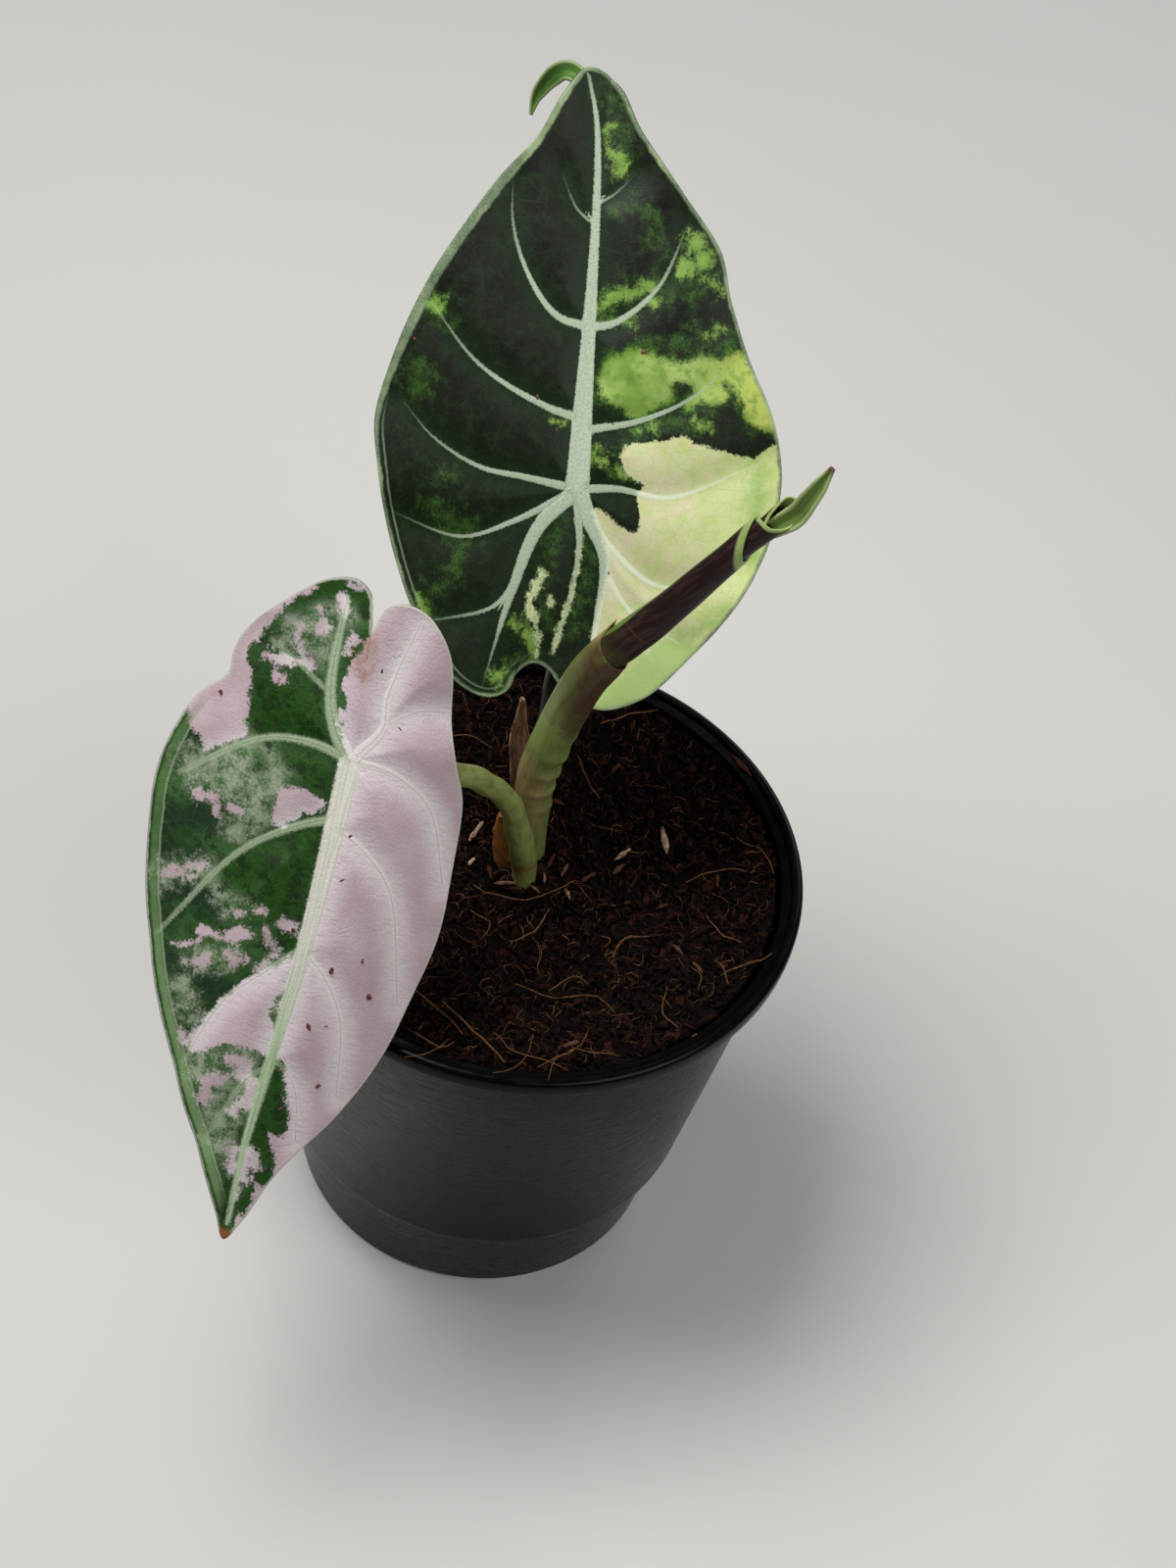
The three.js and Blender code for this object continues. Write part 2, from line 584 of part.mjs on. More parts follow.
add('pot', potGeometry(), 0x101012, 0.35);
add('soil', soilGeometry(), 0x2b1812, 0.95);
add('rhizome', rhizomeGeometry(), 0x5a3d2a, 0.8);
add('back_leaf_stem', sheathGeometry(), 0x8f9a62, 0.5);
add('back_leaf_blade', bladeGeometry(backLeaf, [curledTip()]), 0x24382a, 0.45);
add('new_leaf_rolled', rolledLeafGeometry(), 0x45292d, 0.5);
add('front_leaf_stem', stalk(frontStalk, 26, 12), 0x8fae5e, 0.5);
add('front_leaf_blade', bladeGeometry(frontLeaf), 0xa9a39d, 0.5);
add('dry_sheath', drySheathGeometry(), 0x9a5a22, 0.8);
add('paper_scale', paperScaleGeometry(), 0x84604a, 0.8);

export default group;
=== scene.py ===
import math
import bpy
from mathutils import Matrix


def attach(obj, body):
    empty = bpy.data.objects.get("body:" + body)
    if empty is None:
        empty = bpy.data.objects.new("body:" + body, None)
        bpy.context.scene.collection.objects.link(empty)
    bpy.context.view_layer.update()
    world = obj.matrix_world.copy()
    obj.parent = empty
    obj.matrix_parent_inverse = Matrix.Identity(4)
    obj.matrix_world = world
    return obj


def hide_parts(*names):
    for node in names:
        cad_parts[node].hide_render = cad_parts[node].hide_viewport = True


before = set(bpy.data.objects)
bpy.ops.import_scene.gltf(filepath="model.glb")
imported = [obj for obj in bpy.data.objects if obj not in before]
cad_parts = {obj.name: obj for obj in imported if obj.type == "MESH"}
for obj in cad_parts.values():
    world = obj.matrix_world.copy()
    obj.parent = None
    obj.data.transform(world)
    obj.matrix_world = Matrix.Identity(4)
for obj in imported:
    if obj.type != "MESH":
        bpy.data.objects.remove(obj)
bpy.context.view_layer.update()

# Potted alocasia: two variegated leaves and a rolled new leaf in a black nursery pot.
# Shapes are worked out in millimetres in the frame of the part, and stored in metres.
from types import SimpleNamespace

import bpy
import numpy as np
from mathutils import Matrix, Vector

bpy.ops.object.select_all(action="DESELECT")

MM = 0.001
SEED = 11
BLADE_SPOKES = 396
BLADE_RINGS = 120
CRUMB_COUNT = 9800
LONG_STRANDS = 130
SHORT_STRANDS = 1700

# Driving dimensions, in millimetres
POT_HEIGHT = 80
RIM_RADIUS = 45
WALL = 1.1
LIP_WIDTH = 2
LIP_DEPTH = 3.6
STEP_RADIUS = 36
STEP_HEIGHT = 20.5
FOOT_TOP_RADIUS = 34
FOOT_RADIUS = 32
FLOOR_THICKNESS = 1.6
DRAIN_HOLES = 8
DRAIN_RADIUS = 3.5
DRAIN_CIRCLE = 22
SOIL_TOP = 76
SOIL_GAP = 0.45
BLADE_SKIN = 0.7
QUILT_REACH = 3
THIN_SKIN = 0.3
SIDEWAYS = (1, 0, 0)
WRINKLE_SPACING = 0.8
ROLL_RUN = 43.5
INNER_RUN = 17.05


# Numbers: curves, distances and frames along a path

def unit(vectors):
    vectors = np.asarray(vectors, float)
    return vectors / np.linalg.norm(vectors, axis=-1, keepdims=True)


def smooth(points, count, closed=False):
    """Evenly spaced points on a soft curve through the given ones."""
    points = np.array(points, float)
    if closed:
        padded = np.vstack([points[-1:], points, points[:2]])
    else:
        padded = np.vstack([2 * points[0] - points[1], points, 2 * points[-1] - points[-2]])
    share = np.linspace(0, 1, 24, endpoint=False)[:, None]
    spans = []
    for a, b, c, d in zip(padded, padded[1:], padded[2:], padded[3:]):
        gap_a, gap_b, gap_c = (np.linalg.norm(end - start) ** 0.5
                               for start, end in ((a, b), (b, c), (c, d)))
        leave = ((b - a) / gap_a - (c - a) / (gap_a + gap_b) + (c - b) / gap_b) * gap_b
        arrive = ((c - b) / gap_b - (d - b) / (gap_b + gap_c) + (d - c) / gap_c) * gap_b
        spans.append(
            b + leave * share + (3 * c - 3 * b - 2 * leave - arrive) * share ** 2
            + (2 * b - 2 * c + leave + arrive) * share ** 3
        )
    line = np.vstack(spans + [padded[-2:-1]])
    run = np.concatenate([[0], np.cumsum(np.linalg.norm(np.diff(line, axis=0), axis=1))])
    stops = np.linspace(0, run[-1], count, endpoint=not closed)
    return np.stack([np.interp(stops, run, line[:, i]) for i in range(line.shape[1])], -1)


def stop_value(stops, share):
    """Reads a value off a list of equally spaced stops."""
    return np.interp(share, np.linspace(0, 1, len(stops)), stops)


def ease(low, high, value):
    """0 below low, 1 above high, and smooth between."""
    share = np.clip((value - low) / (high - low), 0, 1)
    return share * share * (3 - 2 * share)


def line_distance(places, line):
    """Distance of each place to a line of points, its side, and how far along the line it is nearest."""
    best = np.full(len(places), np.inf)
    side = np.ones(len(places))
    along = np.zeros(len(places))
    run = 0
    for start, end in zip(line, line[1:]):
        step = end - start
        length = np.hypot(*step)
        offset = places - start
        share = np.clip(offset @ step / length ** 2, 0, 1)
        away = offset - share[:, None] * step
        distance = np.hypot(away[:, 0], away[:, 1])
        closer = distance < best
        best[closer] = distance[closer]
        side[closer] = np.sign(step[0] * offset[closer, 1] - step[1] * offset[closer, 0] + 1e-9)
        along[closer] = run + share[closer] * length
        run += length
    return best, side, along


def inside_distance(places, outline, rounding=4):
    """Distance to a closed outline, above 0 inside it."""
    line = smooth(outline, rounding * len(outline), closed=True)
    line = np.vstack([line, line[:1]])
    distance = line_distance(places, line)[0]
    inside = np.zeros(len(places), bool)
    for (x0, y0), (x1, y1) in zip(line, line[1:]):
        crosses = (y0 > places[:, 1]) != (y1 > places[:, 1])
        rise = np.where(y1 == y0, 1e-9, y1 - y0)
        inside ^= crosses & (places[:, 0] < (x1 - x0) * (places[:, 1] - y0) / rise + x0)
    return np.where(inside, distance, -distance)


def stroke_distance(places, strokes):
    """Distance inside soft strokes, each a list of points and a half-width."""
    best = np.full(len(places), -99.0)
    for points, half_width in strokes:
        best = np.maximum(best, half_width - line_distance(places, smooth(points, 16))[0])
    return best


def frames(path, facing, share):
    """Centre, side, up and forward of a path at each share of its length."""
    line = smooth(path, 241)
    slope = np.gradient(line, axis=0)
    stops = np.linspace(0, 1, len(line))
    centre, forward = (np.stack([np.interp(share, stops, part[:, i]) for i in range(3)], -1)
                       for part in (line, slope))
    forward = unit(forward)
    side = unit(np.cross(forward, facing))
    return centre, side, np.cross(side, forward), forward


# Meshes

def activate(piece):
    bpy.ops.object.select_all(action="DESELECT")
    piece.select_set(True)
    bpy.context.view_layer.objects.active = piece


def read_points(piece):
    points = np.empty(len(piece.data.vertices) * 3)
    piece.data.vertices.foreach_get("co", points)
    return points.reshape(-1, 3)


def write_points(piece, points):
    piece.data.vertices.foreach_set("co", np.ascontiguousarray(points, float).ravel())
    piece.data.update()


def store(piece, name, values):
    """Keeps a number or a vector for each vertex, for the materials to read."""
    values = np.asarray(values, np.float32)
    kind, field = ("FLOAT", "value") if values.ndim == 1 else ("FLOAT_VECTOR", "vector")
    attribute = piece.data.attributes.new(name, kind, "POINT")
    attribute.data.foreach_set(field, values.ravel())


def apply_modifier(piece, kind, **settings):
    activate(piece)
    modifier = piece.modifiers.new(kind.title(), kind)
    for name, value in settings.items():
        setattr(modifier, name, value)
    bpy.ops.object.modifier_apply(modifier=modifier.name)


def sheet(name, around, along, place):
    """A grid bent to shape. place(u, v) gives the points in millimetres and the values to store."""
    bpy.ops.mesh.primitive_grid_add(x_subdivisions=around, y_subdivisions=along, size=1)
    piece = bpy.context.object
    piece.name = piece.data.name = name
    flat = read_points(piece) + 0.5
    points, values = place(flat[:, 0], flat[:, 1])
    write_points(piece, points * MM)
    for attribute, value in values.items():
        store(piece, attribute, value)
    return piece


def close(piece, caps=True):
    """Merges a sheet's seam and poles, caps its open ends and turns its faces outwards."""
    activate(piece)
    bpy.ops.object.mode_set(mode="EDIT")
    bpy.ops.mesh.select_all(action="SELECT")
    bpy.ops.mesh.remove_doubles(threshold=1e-6)
    if caps:
        bpy.ops.mesh.select_mode(type="EDGE")
        bpy.ops.mesh.select_all(action="DESELECT")
        bpy.ops.mesh.select_non_manifold(extend=False)
        bpy.ops.mesh.fill_holes(sides=0)
    bpy.ops.mesh.select_all(action="SELECT")
    bpy.ops.mesh.normals_make_consistent(inside=False)
    bpy.ops.object.mode_set(mode="OBJECT")
    bpy.ops.object.shade_smooth()


def thicken(piece, thickness, under=None):
    """Gives a sheet its thickness. under names the vertex group of the lower skin."""
    settings = {"thickness": thickness * MM, "offset": 0, "use_quality_normals": True}
    if under:
        piece.vertex_groups.new(name=under)
        settings["shell_vertex_group"] = under
    apply_modifier(piece, "SOLIDIFY", **settings)


def finish_piece(piece, material, slot, *replaced):
    """Gives a piece its material and hangs it on the part's one body."""
    piece.data.materials.clear()
    piece.data.materials.append(material)
    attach(piece, "root")
    if replaced:
        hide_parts(*replaced)


# Materials

# A range that eases in and out
SOFT = {"interpolation_type": "SMOOTHSTEP"}


def linear(colour):
    """An sRGB hex colour as the linear values that the nodes take."""
    channels = [int(colour[i:i + 2], 16) / 255 for i in (1, 3, 5)]
    return [c / 12.92 if c <= 0.04045 else ((c + 0.055) / 1.055) ** 2.4 for c in channels] + [1]


def add(material, kind, links=None, operation=None, **settings):
    """Adds a node. Links give its inputs, in order or by name.

    An input is a number, a hex colour, a node (its first output) or a node and the output's number.
    """
    node = material.node_tree.nodes.new("ShaderNode" + kind)
    if operation:
        node.operation = operation
    for name, value in settings.items():
        setattr(node, name, value)
    inputs = enumerate(links) if isinstance(links, list) else (links or {}).items()
    for name, source in inputs:
        if isinstance(source, bpy.types.Node):
            source = (source, 0)
        if isinstance(source, tuple) and isinstance(source[0], bpy.types.Node):
            material.node_tree.links.new(source[0].outputs[source[1]], node.inputs[name])
        else:
            node.inputs[name].default_value = linear(source) if isinstance(source, str) else source
    return node


def new_material(name):
    material = bpy.data.materials.new(name)
    material.use_nodes = True
    material.node_tree.nodes.clear()
    return material


# Leaves: a blade is described in its own plane, in mm from where the petiole meets it:
# the first number runs towards the tip, the second to the right seen with the tip up.

class Leaf:
    """A leaf's place, outline, veins and form."""

    def __init__(self, junction, to_tip, facing, outline, midrib, midrib_widths, veins, bend, quilt, wave,
                 waves):
        self.origin = np.array(junction, float)
        self.tip = unit(to_tip)
        facing = np.array(facing, float)
        self.face = unit(facing - facing @ self.tip * self.tip)
        self.right = np.cross(self.tip, self.face)
        self.outline = outline
        self.lines = [(midrib, midrib_widths)] + veins
        self.bend = bend
        self.quilt = quilt
        self.wave = wave
        self.waves = waves

    def point(self, p, q, n):
        return self.origin + np.multiply.outer(p, self.tip) + np.multiply.outer(q, self.right) \
            + np.multiply.outer(n, self.face)

    def vein_field(self, places):
        """Side distance, distance, half-width and distance along, of the nearest vein and of the midrib."""
        field = np.full((4, len(places)), 99.0)
        lead = np.full(len(places), np.inf)
        for i, (points, widths) in enumerate(self.lines):
            line = smooth(points, 40)
            distance, side, along = line_distance(places, line)
            half_width = stop_value(widths, along / along.max())
            closer = distance - half_width < lead
            lead[closer] = (distance - half_width)[closer]
            for row, value in enumerate((distance * side, distance, half_width, along)):
                field[row, closer] = value[closer]
            if i == 0:
                midrib = np.array([distance * side, distance, half_width])
        return field, midrib

    def distance_to_lines(self, places):
        return np.min([line_distance(places, smooth(points, 13))[0] for points, widths in self.lines],
                      axis=0)

    def height(self, places, share):
        p, q = places.T
        pillow = self.quilt * (1 - np.exp(-(self.distance_to_lines(places) / QUILT_REACH) ** 2))
        ripple = self.wave * share ** 4 * np.sin(self.waves * np.arctan2(q, p))
        return self.bend(p, q) + pillow + ripple


MIDRIB_WIDTHS = [1.8, 1.45, 1.1, 0.82, 0.6, 0.42, 0.2]
PALE_MIDRIB_WIDTHS = [1.5, 1.35, 1.1, 0.88, 0.65, 0.42, 0.25]
SIDE_WIDTHS = [0.68, 0.42, 0.28, 0.17, 0.03]
COSTA_WIDTHS = [1.2, 0.95, 0.7, 0.24, 0.04]
SMALL_WIDTHS = [0.24, 0.13, 0.02]


def back_bend(p, q):
    """Shallow trough with arched halves; the last third folds up towards the tip."""
    fold = np.clip((p - 38) / 24, 0, 1) ** 2
    return -0.002 * np.maximum(p, 0) ** 2 + (0.1 + 0.45 * fold) * np.abs(q) - 0.0035 * q ** 2


def front_bend(p, q):
    """Both halves hang away from the midrib, more so on the right, and the tip droops."""
    return -0.0012 * np.maximum(p, 0) ** 2 - np.where(q > 0, 0.012, 0.026) * q ** 2


back_leaf = Leaf(
    junction=(-2.8, 26, 134.4), to_tip=(-0.1, 0.6, 0.79), facing=(0.02, -0.79, 0.61),
    outline=[
        (61.8, -3.6), (59.6, 1), (53.3, 4.9), (44.4, 12.2), (36.8, 18.2), (29.5, 20.5), (20.7, 24.3),
        (13.2, 28.2), (5.5, 30.4), (-3, 30.1), (-11.9, 27.4), (-19.3, 23), (-25.6, 18), (-30.6, 12.9),
        (-33, 7), (-32.4, 3.4), (-30, 0), (-27.6, -2.2), (-26.9, -4.8), (-28.8, -7), (-31.6, -8.3),
        (-32.7, -11), (-31.2, -15.1), (-25.4, -20.3), (-18.1, -24.3), (-7.3, -28.3), (1, -30.1),
        (8.4, -31.1), (16.9, -29.2), (28, -25.2), (36.7, -20.5), (44.9, -15.3), (51, -10.4), (57.9, -6.8),
    ],
    midrib=[(0, 0), (15, -0.2), (30, -0.4), (45, -0.9), (54, -1.8), (60.5, -3.6)],
    midrib_widths=MIDRIB_WIDTHS,
    veins=[
        ([(39, -0.7), (41, -3.5), (46, -6.2)], SMALL_WIDTHS),
        ([(24, -0.4), (25.4, -5.4), (31, -10), (38, -12.8), (45, -13.4)], SIDE_WIDTHS),
        ([(10.5, -0.3), (12, -6), (17.4, -16.3), (27, -25)], SIDE_WIDTHS),
        ([(0, 0), (1.2, -8), (2.2, -15), (6, -22.2), (11, -27.2)], SIDE_WIDTHS),
        ([(0, 0), (-5.8, -9.7), (-8.5, -17), (-5.5, -28)], SIDE_WIDTHS),
        ([(0, 0), (-6.2, -5.4), (-17, -8.8), (-31.3, -12)], COSTA_WIDTHS),
        ([(-13.5, -7.8), (-18.5, -11), (-21.8, -21)], [0.4, 0.24, 0.08]),
        ([(0, 0), (-8, 1), (-15, 0.6), (-24.5, -1.6)], [0.9, 0.3, 0.2, 0.1]),
        ([(0, 0), (-5, 2.6), (-10, 5), (-20, 4.6), (-29, 4.2)], [1.4, 0.95, 0.62, 0.36, 0.18]),
        ([(42, -0.7), (43.6, 1.8), (47, 4.8)], SMALL_WIDTHS),
        ([(24, -0.3), (25, 3.5), (30.6, 9.4), (40.5, 13.2)], SIDE_WIDTHS),
        ([(8.8, 0), (11, 8.5), (15.3, 16.3), (22, 22.3)], SIDE_WIDTHS),
        ([(0, 0), (0.6, 6), (0, 14), (7, 28)], SIDE_WIDTHS),
        ([(-4, 2.2), (-8.2, 5.6), (-13.5, 14), (-10, 25)], SIDE_WIDTHS),
        ([(-12, 5.2), (-18, 10), (-22, 17.5)], [0.4, 0.25, 0.1]),
    ],
    bend=back_bend, quilt=0.7, wave=0.7, waves=7,
)

front_leaf = Leaf(
    junction=(-26.8, -25, 122), to_tip=(-0.085, -0.62, -0.78), facing=(0.08, -0.6, 0.8),
    outline=[
        (75.7, 0), (71.2, 2.4), (63.2, 6.5), (56, 10.6), (47.5, 15.1), (39.1, 19.2), (27, 23.6),
        (16.2, 25.7), (9.4, 26.3), (3.3, 25.3), (-3, 22.9), (-6.9, 19.6), (-10.6, 19.6), (-14.6, 18.3),
        (-19.9, 14.1), (-23.5, 10), (-24.8, 5.6), (-23.4, 3.2), (-20.6, 2.3), (-18, 1.7), (-20.4, 1.1),
        (-22.4, 0.4), (-23.3, -2.4), (-22.1, -6), (-17.6, -9.7), (-8.1, -12.3), (-2.8, -14.4),
        (2.9, -16.8), (12.3, -18), (23.3, -18.7), (32.1, -17.6), (42.2, -15.6), (50.9, -12.4),
        (58.4, -8), (63.5, -4.9), (72.2, -2),
    ],
    midrib=[(0, 0), (15, -0.4), (30, -0.5), (45, 0), (60, 0.5), (73, 0)], midrib_widths=PALE_MIDRIB_WIDTHS,
    veins=[
        ([(0, 0), (-4, 3.3), (-9, 5.2), (-22, 6.2)], [1, 0.7, 0.45, 0.2]),
        ([(-8.5, 5.2), (-11.4, 10.5), (-13.5, 15)], SMALL_WIDTHS),
        ([(0, 0), (-1, 6), (0.4, 12.6), (9, 23)], [0.6, 0.38, 0.28, 0.12]),
        ([(8.5, -0.2), (11, 4.8), (17, 11.7), (33, 20.5)], [0.55, 0.34, 0.25, 0.1]),
        ([(28, -0.5), (33, 3.9), (39, 8.6), (50, 12.2)], [0.45, 0.3, 0.2, 0.08]),
        ([(47, 0), (49.3, 2.4), (60, 6.2)], SMALL_WIDTHS),
        ([(0, 0), (-5.5, -3.2), (-10, -2.7), (-21.5, -4.5)], [0.9, 0.5, 0.3, 0.12]),
        ([(-6, -3.2), (-9, -7.5), (-9.5, -11.5)], SMALL_WIDTHS),
        ([(0, 0), (0.4, -5.7), (4.3, -12.1), (16, -17.4)], [0.6, 0.38, 0.25, 0.12]),
        ([(10, -0.4), (11.8, -4.2), (17.2, -9.8), (35, -15.6)], [0.55, 0.34, 0.25, 0.1]),
        ([(28.5, -0.5), (32, -4.4), (38, -8), (50, -10.4)], [0.45, 0.3, 0.2, 0.08]),
        ([(45, 0), (49.4, -4.2), (58, -6.4)], SMALL_WIDTHS),
    ],
    bend=front_bend, quilt=0.8, wave=0.6, waves=6,
)

# Variegation of the back leaf: pale patches, in the leaf's own plane
YELLOW_PATCH = [
    (15, 2.3), (16.7, 2.4), (19, 3.2), (21, 6.6), (20.8, 9.2), (20, 11), (19.6, 14), (20.6, 16.2),
    (20.8, 19.6), (21.9, 22.2), (20.3, 24.1), (17.9, 25.6), (15.8, 28), (12, 29), (12.3, 25.3),
    (14.7, 23.7), (17.2, 22.2), (17.9, 19.9), (15.4, 21), (14.7, 17.6), (13.6, 15.1), (15.9, 16.6),
    (17.5, 15.6), (16.8, 12.6), (14.6, 12.3), (12.7, 9.5), (11.4, 7.4), (13.2, 5.9), (13.8, 3.3),
]
CREAM_PATCH = [
    (5.4, 5.8), (7.3, 7.3), (8.1, 11.6), (9.4, 14.6), (8.4, 17.7), (7.6, 20.9), (7.1, 24.9), (6.3, 25.8),
    (8.8, 28), (9, 35), (-6, 37), (-20, 31), (-34, 20), (-38, 8), (-34, 2.5), (-24.4, 3.5), (-18, 4.7),
    (-10, 5.4), (-2.1, 2.5), (-3.4, 5.2), (-4.6, 6.6), (-5.5, 9.6), (-3.4, 9.6), (0, 8.9), (1.5, 9.8),
    (2.9, 7.3),
]
PALE_STREAKS = [
    ([(-13, -4.1), (-14.9, -5), (-17.6, -5.7), (-20.2, -4.8)], 0.45),
    ([(-20.2, -4.8), (-23.2, -3.9), (-25.7, -3.9)], 0.22),
    ([(-3.4, 0.2), (-6.9, 1), (-9.5, 1.1), (-13.9, 0.8), (-16, 0.5)], 0.14),
    ([(-15.7, 0.6), (-18.9, -0.3), (-21.7, -0.8)], 0.3), ([(-21.7, -0.9), (-24.8, -1.6)], 0.12),
    ([(-16.5, -2.9), (-17.8, -2.6)], 0.15),
]
LIME_FLECKS = [
    ([(49.4, 0.9), (48.7, 2.1), (47, 2.3)], 0.9), ([(53.6, 0.2), (50.6, 0.1)], 0.35),
    ([(37.8, 13.7), (36.3, 15.8), (34.4, 15.2), (33.8, 13)], 1.3), ([(32.1, 16.9), (31.4, 18.4)], 0.7),
    ([(26.4, 0.9), (28.7, 2.4), (29.9, 5.8), (30.5, 7.9)], 0.9), ([(24.9, 5.1), (25.4, 6.2)], 0.6),
    ([(28.4, 8.5), (28, 9.4)], 0.5), ([(4.6, 1.9), (6, 2.6), (4.4, 4.1)], 0.6),
    ([(3.7, 5.9), (2.5, 7.3)], 0.5), ([(9.5, 8.4), (10.1, 10.1)], 0.5), ([(11.5, 16.6), (10.8, 18.4)], 0.6),
    ([(26, -24.5), (25.2, -22.4)], 0.9), ([(9.7, -4.2), (9.8, -2.9)], 0.4),
    ([(-20.8, -7.2), (-22, -5.4), (-25, -4.4)], 1), ([(-28.6, -9), (-30, -10.2)], 0.7),
    ([(24.7, 17.3), (25.1, 19.2)], 0.6), ([(-18.5, -22.6), (-20.7, -21.6)], 0.6),
]
HALF_GREEN = [
    ([(58.6, -0.5), (55.9, 1.6), (52.5, 2.6), (49, 2.4)], 1.5), ([(53.6, 0.2), (50.6, 0.2)], 0.8),
    ([(41.4, 1.6), (42.5, 4.2), (41.1, 7.8)], 1.1), ([(37.7, 7.7), (36.6, 9.9)], 0.9),
    ([(30.7, 10), (30.5, 12.7), (32, 15.6), (36, 16)], 1.9), ([(26.4, 1.2), (29.4, 3.4), (30.5, 7.9)], 1.9),
    ([(24.7, 15.3), (25.1, 19.2)], 1.1), ([(21, 7.4), (22.3, 11.7), (23.1, 15.9), (23.9, 21.1)], 1.3),
    ([(25, -23.5), (24, -22)], 1.8), ([(15.1, -26.5), (15.3, -24.3), (13.1, -24.6)], 1.6),
    ([(0.6, -20.1), (0.7, -18.8)], 1), ([(-4.4, -22.4), (-4.3, -21.1)], 1),
    ([(-5.9, -19.2), (-6.6, -16.5), (-8.5, -18.1)], 1.6),
    ([(-10, -16.2), (-12.8, -17.3), (-14.6, -17.6), (-16.7, -21)], 1),
    ([(-4.5, -2.2), (-9, -3.1), (-14, -3.6)], 0.8), ([(-18.5, -22.2), (-20.7, -21.2)], 1.2),
    ([(-20.8, -7), (-25, -4.6), (-30, -9.5)], 1.5), ([(3.7, 5.5), (10.4, 10), (11, 18)], 1.3),
    ([(-8, 2.4), (-16, 2), (-22, 1)], 0.7), ([(-17, -3.8), (-21, -2.6)], 1),
]
GREEN_LOBE = [
    ([(-23.3, 17), (-28.1, 12.9), (-32.5, 8.6)], 4.4), ([(-16, 24), (-21.3, 19)], 1.4),
    ([(5, 27), (-8, 27.5)], 1.6),
]

# Variegation of the front leaf: pink over green, and green over pink
PINK_HALF = [
    (80, -1), (62.4, -1.9), (51.5, -2.5), (46.3, -0.7), (38.3, -0.6), (27.9, -0.1), (17.6, 0.3),
    (15.1, -0.5), (7.8, -0.2), (3.5, -0.1), (0, 0), (-1.9, 1.3), (-5.6, 3.1), (-9.7, 3.6), (-12.6, 3.4),
    (-14.1, 2.9), (-17.8, 1.8), (-24.8, 1.3), (-28, -6), (-24, -16), (7.6, -26), (23.1, -28), (48.5, -24),
    (70, -9),
]
PINK_LOBE = [
    (-22.8, 11.2), (-21, 14), (-16.9, 17.6), (-13, 20.5), (-9, 22), (-5.1, 24), (0.2, 24), (3.2, 21.4),
    (4.7, 19.8), (2.7, 17.7), (1, 15.2), (-3.2, 15.6), (-6.9, 16.1), (-9.7, 17.5), (-11.3, 17.4),
    (-13.6, 16.4), (-16.9, 15), (-19.6, 13.4), (-22.1, 10.4),
]
PINK_ISLANDS = [
    [(7.1, 8.4), (5.8, 7.4), (5.6, 4.6), (6.8, 2), (8.2, 2.3), (9.4, 4.6), (11.3, 6), (12.3, 7.3),
     (11.4, 8.4), (8.8, 8.6)],
    [(33.4, 17.8), (31.6, 14.9), (29.1, 14.4), (28.8, 12.3), (30, 11.6), (27.4, 9.4), (27.9, 6.4),
     (29.8, 8.8), (30.8, 12.9), (33.6, 16.3)],
    [(29.1, -0.1), (31.4, 2.7), (34.2, 5.7), (37.3, 7.9), (41.6, 10.2), (47.4, 11.8), (48.3, 10.9),
     (45.1, 6.7), (44.7, 3.8), (45, -0.5), (38.3, -1.6), (31.6, -1.7)],
]
PINK_FLECKS = [
    ([(11.1, 19.9), (10.8, 17.1), (12.3, 16.3)], 0.65), ([(11.1, 14.8), (11.5, 12.9)], 0.35),
    ([(22.5, 20.3), (20.4, 15.7)], 0.4), ([(34.7, 14.5), (34, 12.1)], 0.55),
    ([(32.1, 10.4), (32.4, 9.2), (32.3, 7.1)], 0.5), ([(25.6, 10.6), (25.3, 8.8)], 0.5),
    ([(24.6, 7.6), (24.3, 6)], 0.45), ([(26.8, 5.2), (28.4, 4.3)], 0.4),
    ([(25.2, 3.5), (25.8, 1.9), (26.3, 0.9)], 0.6), ([(29.9, 3), (31.8, 4.3), (32.8, 5.1)], 0.65),
    ([(54.3, 8.2), (51.7, 7.8), (50.2, 6.7)], 0.9), ([(47.4, 5.2), (47.3, 3.7), (49.2, 3.6)], 1.1),
    ([(50.2, 1.6), (52.6, 1.7), (55, 3)], 0.9), ([(64.6, 1.7), (62.6, 1.8), (60.6, 1.6)], 0.7),
    ([(65.2, -0.6), (62.5, 0.1), (60.7, -0.6), (62.4, -2.1)], 0.75), ([(68.2, -0.2), (66.9, -0.3)], 0.5),
    ([(45.3, 13.4), (46.5, 12.7), (45.4, 11.9)], 0.7), ([(-21.9, 6.9), (-19.9, 5.4)], 0.6),
    ([(-23.9, 6.5), (-23.9, 4.7)], 0.45), ([(-19.5, 9.1), (-17, 8.3)], 0.6),
    ([(-14.7, 4.4), (-17, 3.6)], 0.5), ([(-15.6, 11.5), (-13.1, 10.9), (-11.3, 8.7)], 0.6),
    ([(-11, 15.2), (-11.1, 12.8), (-11.5, 10.4)], 0.6), ([(-8.9, 13.1), (-8.3, 11.7)], 0.6),
    ([(23.9, 21.3), (22.8, 17.5)], 0.5),
]
GREEN_OVER_PINK = [
    ([(46.8, -0.8), (50.6, -1.4), (54.1, -3), (56, -3.4)], 1.5),
    ([(54.6, -0.9), (58.1, -1.4), (62.2, -3.1), (64.2, -3.2)], 1.4), ([(-17.5, 3), (-14.1, 3.9)], 0.9),
    ([(-9, 3.5), (-6.8, 2.7)], 0.35), ([(35.7, 0.8), (38.1, 1.3), (40.5, 0.4)], 0.5),
    ([(66.5, -1.9), (70.3, -1.6)], 0.8),
]
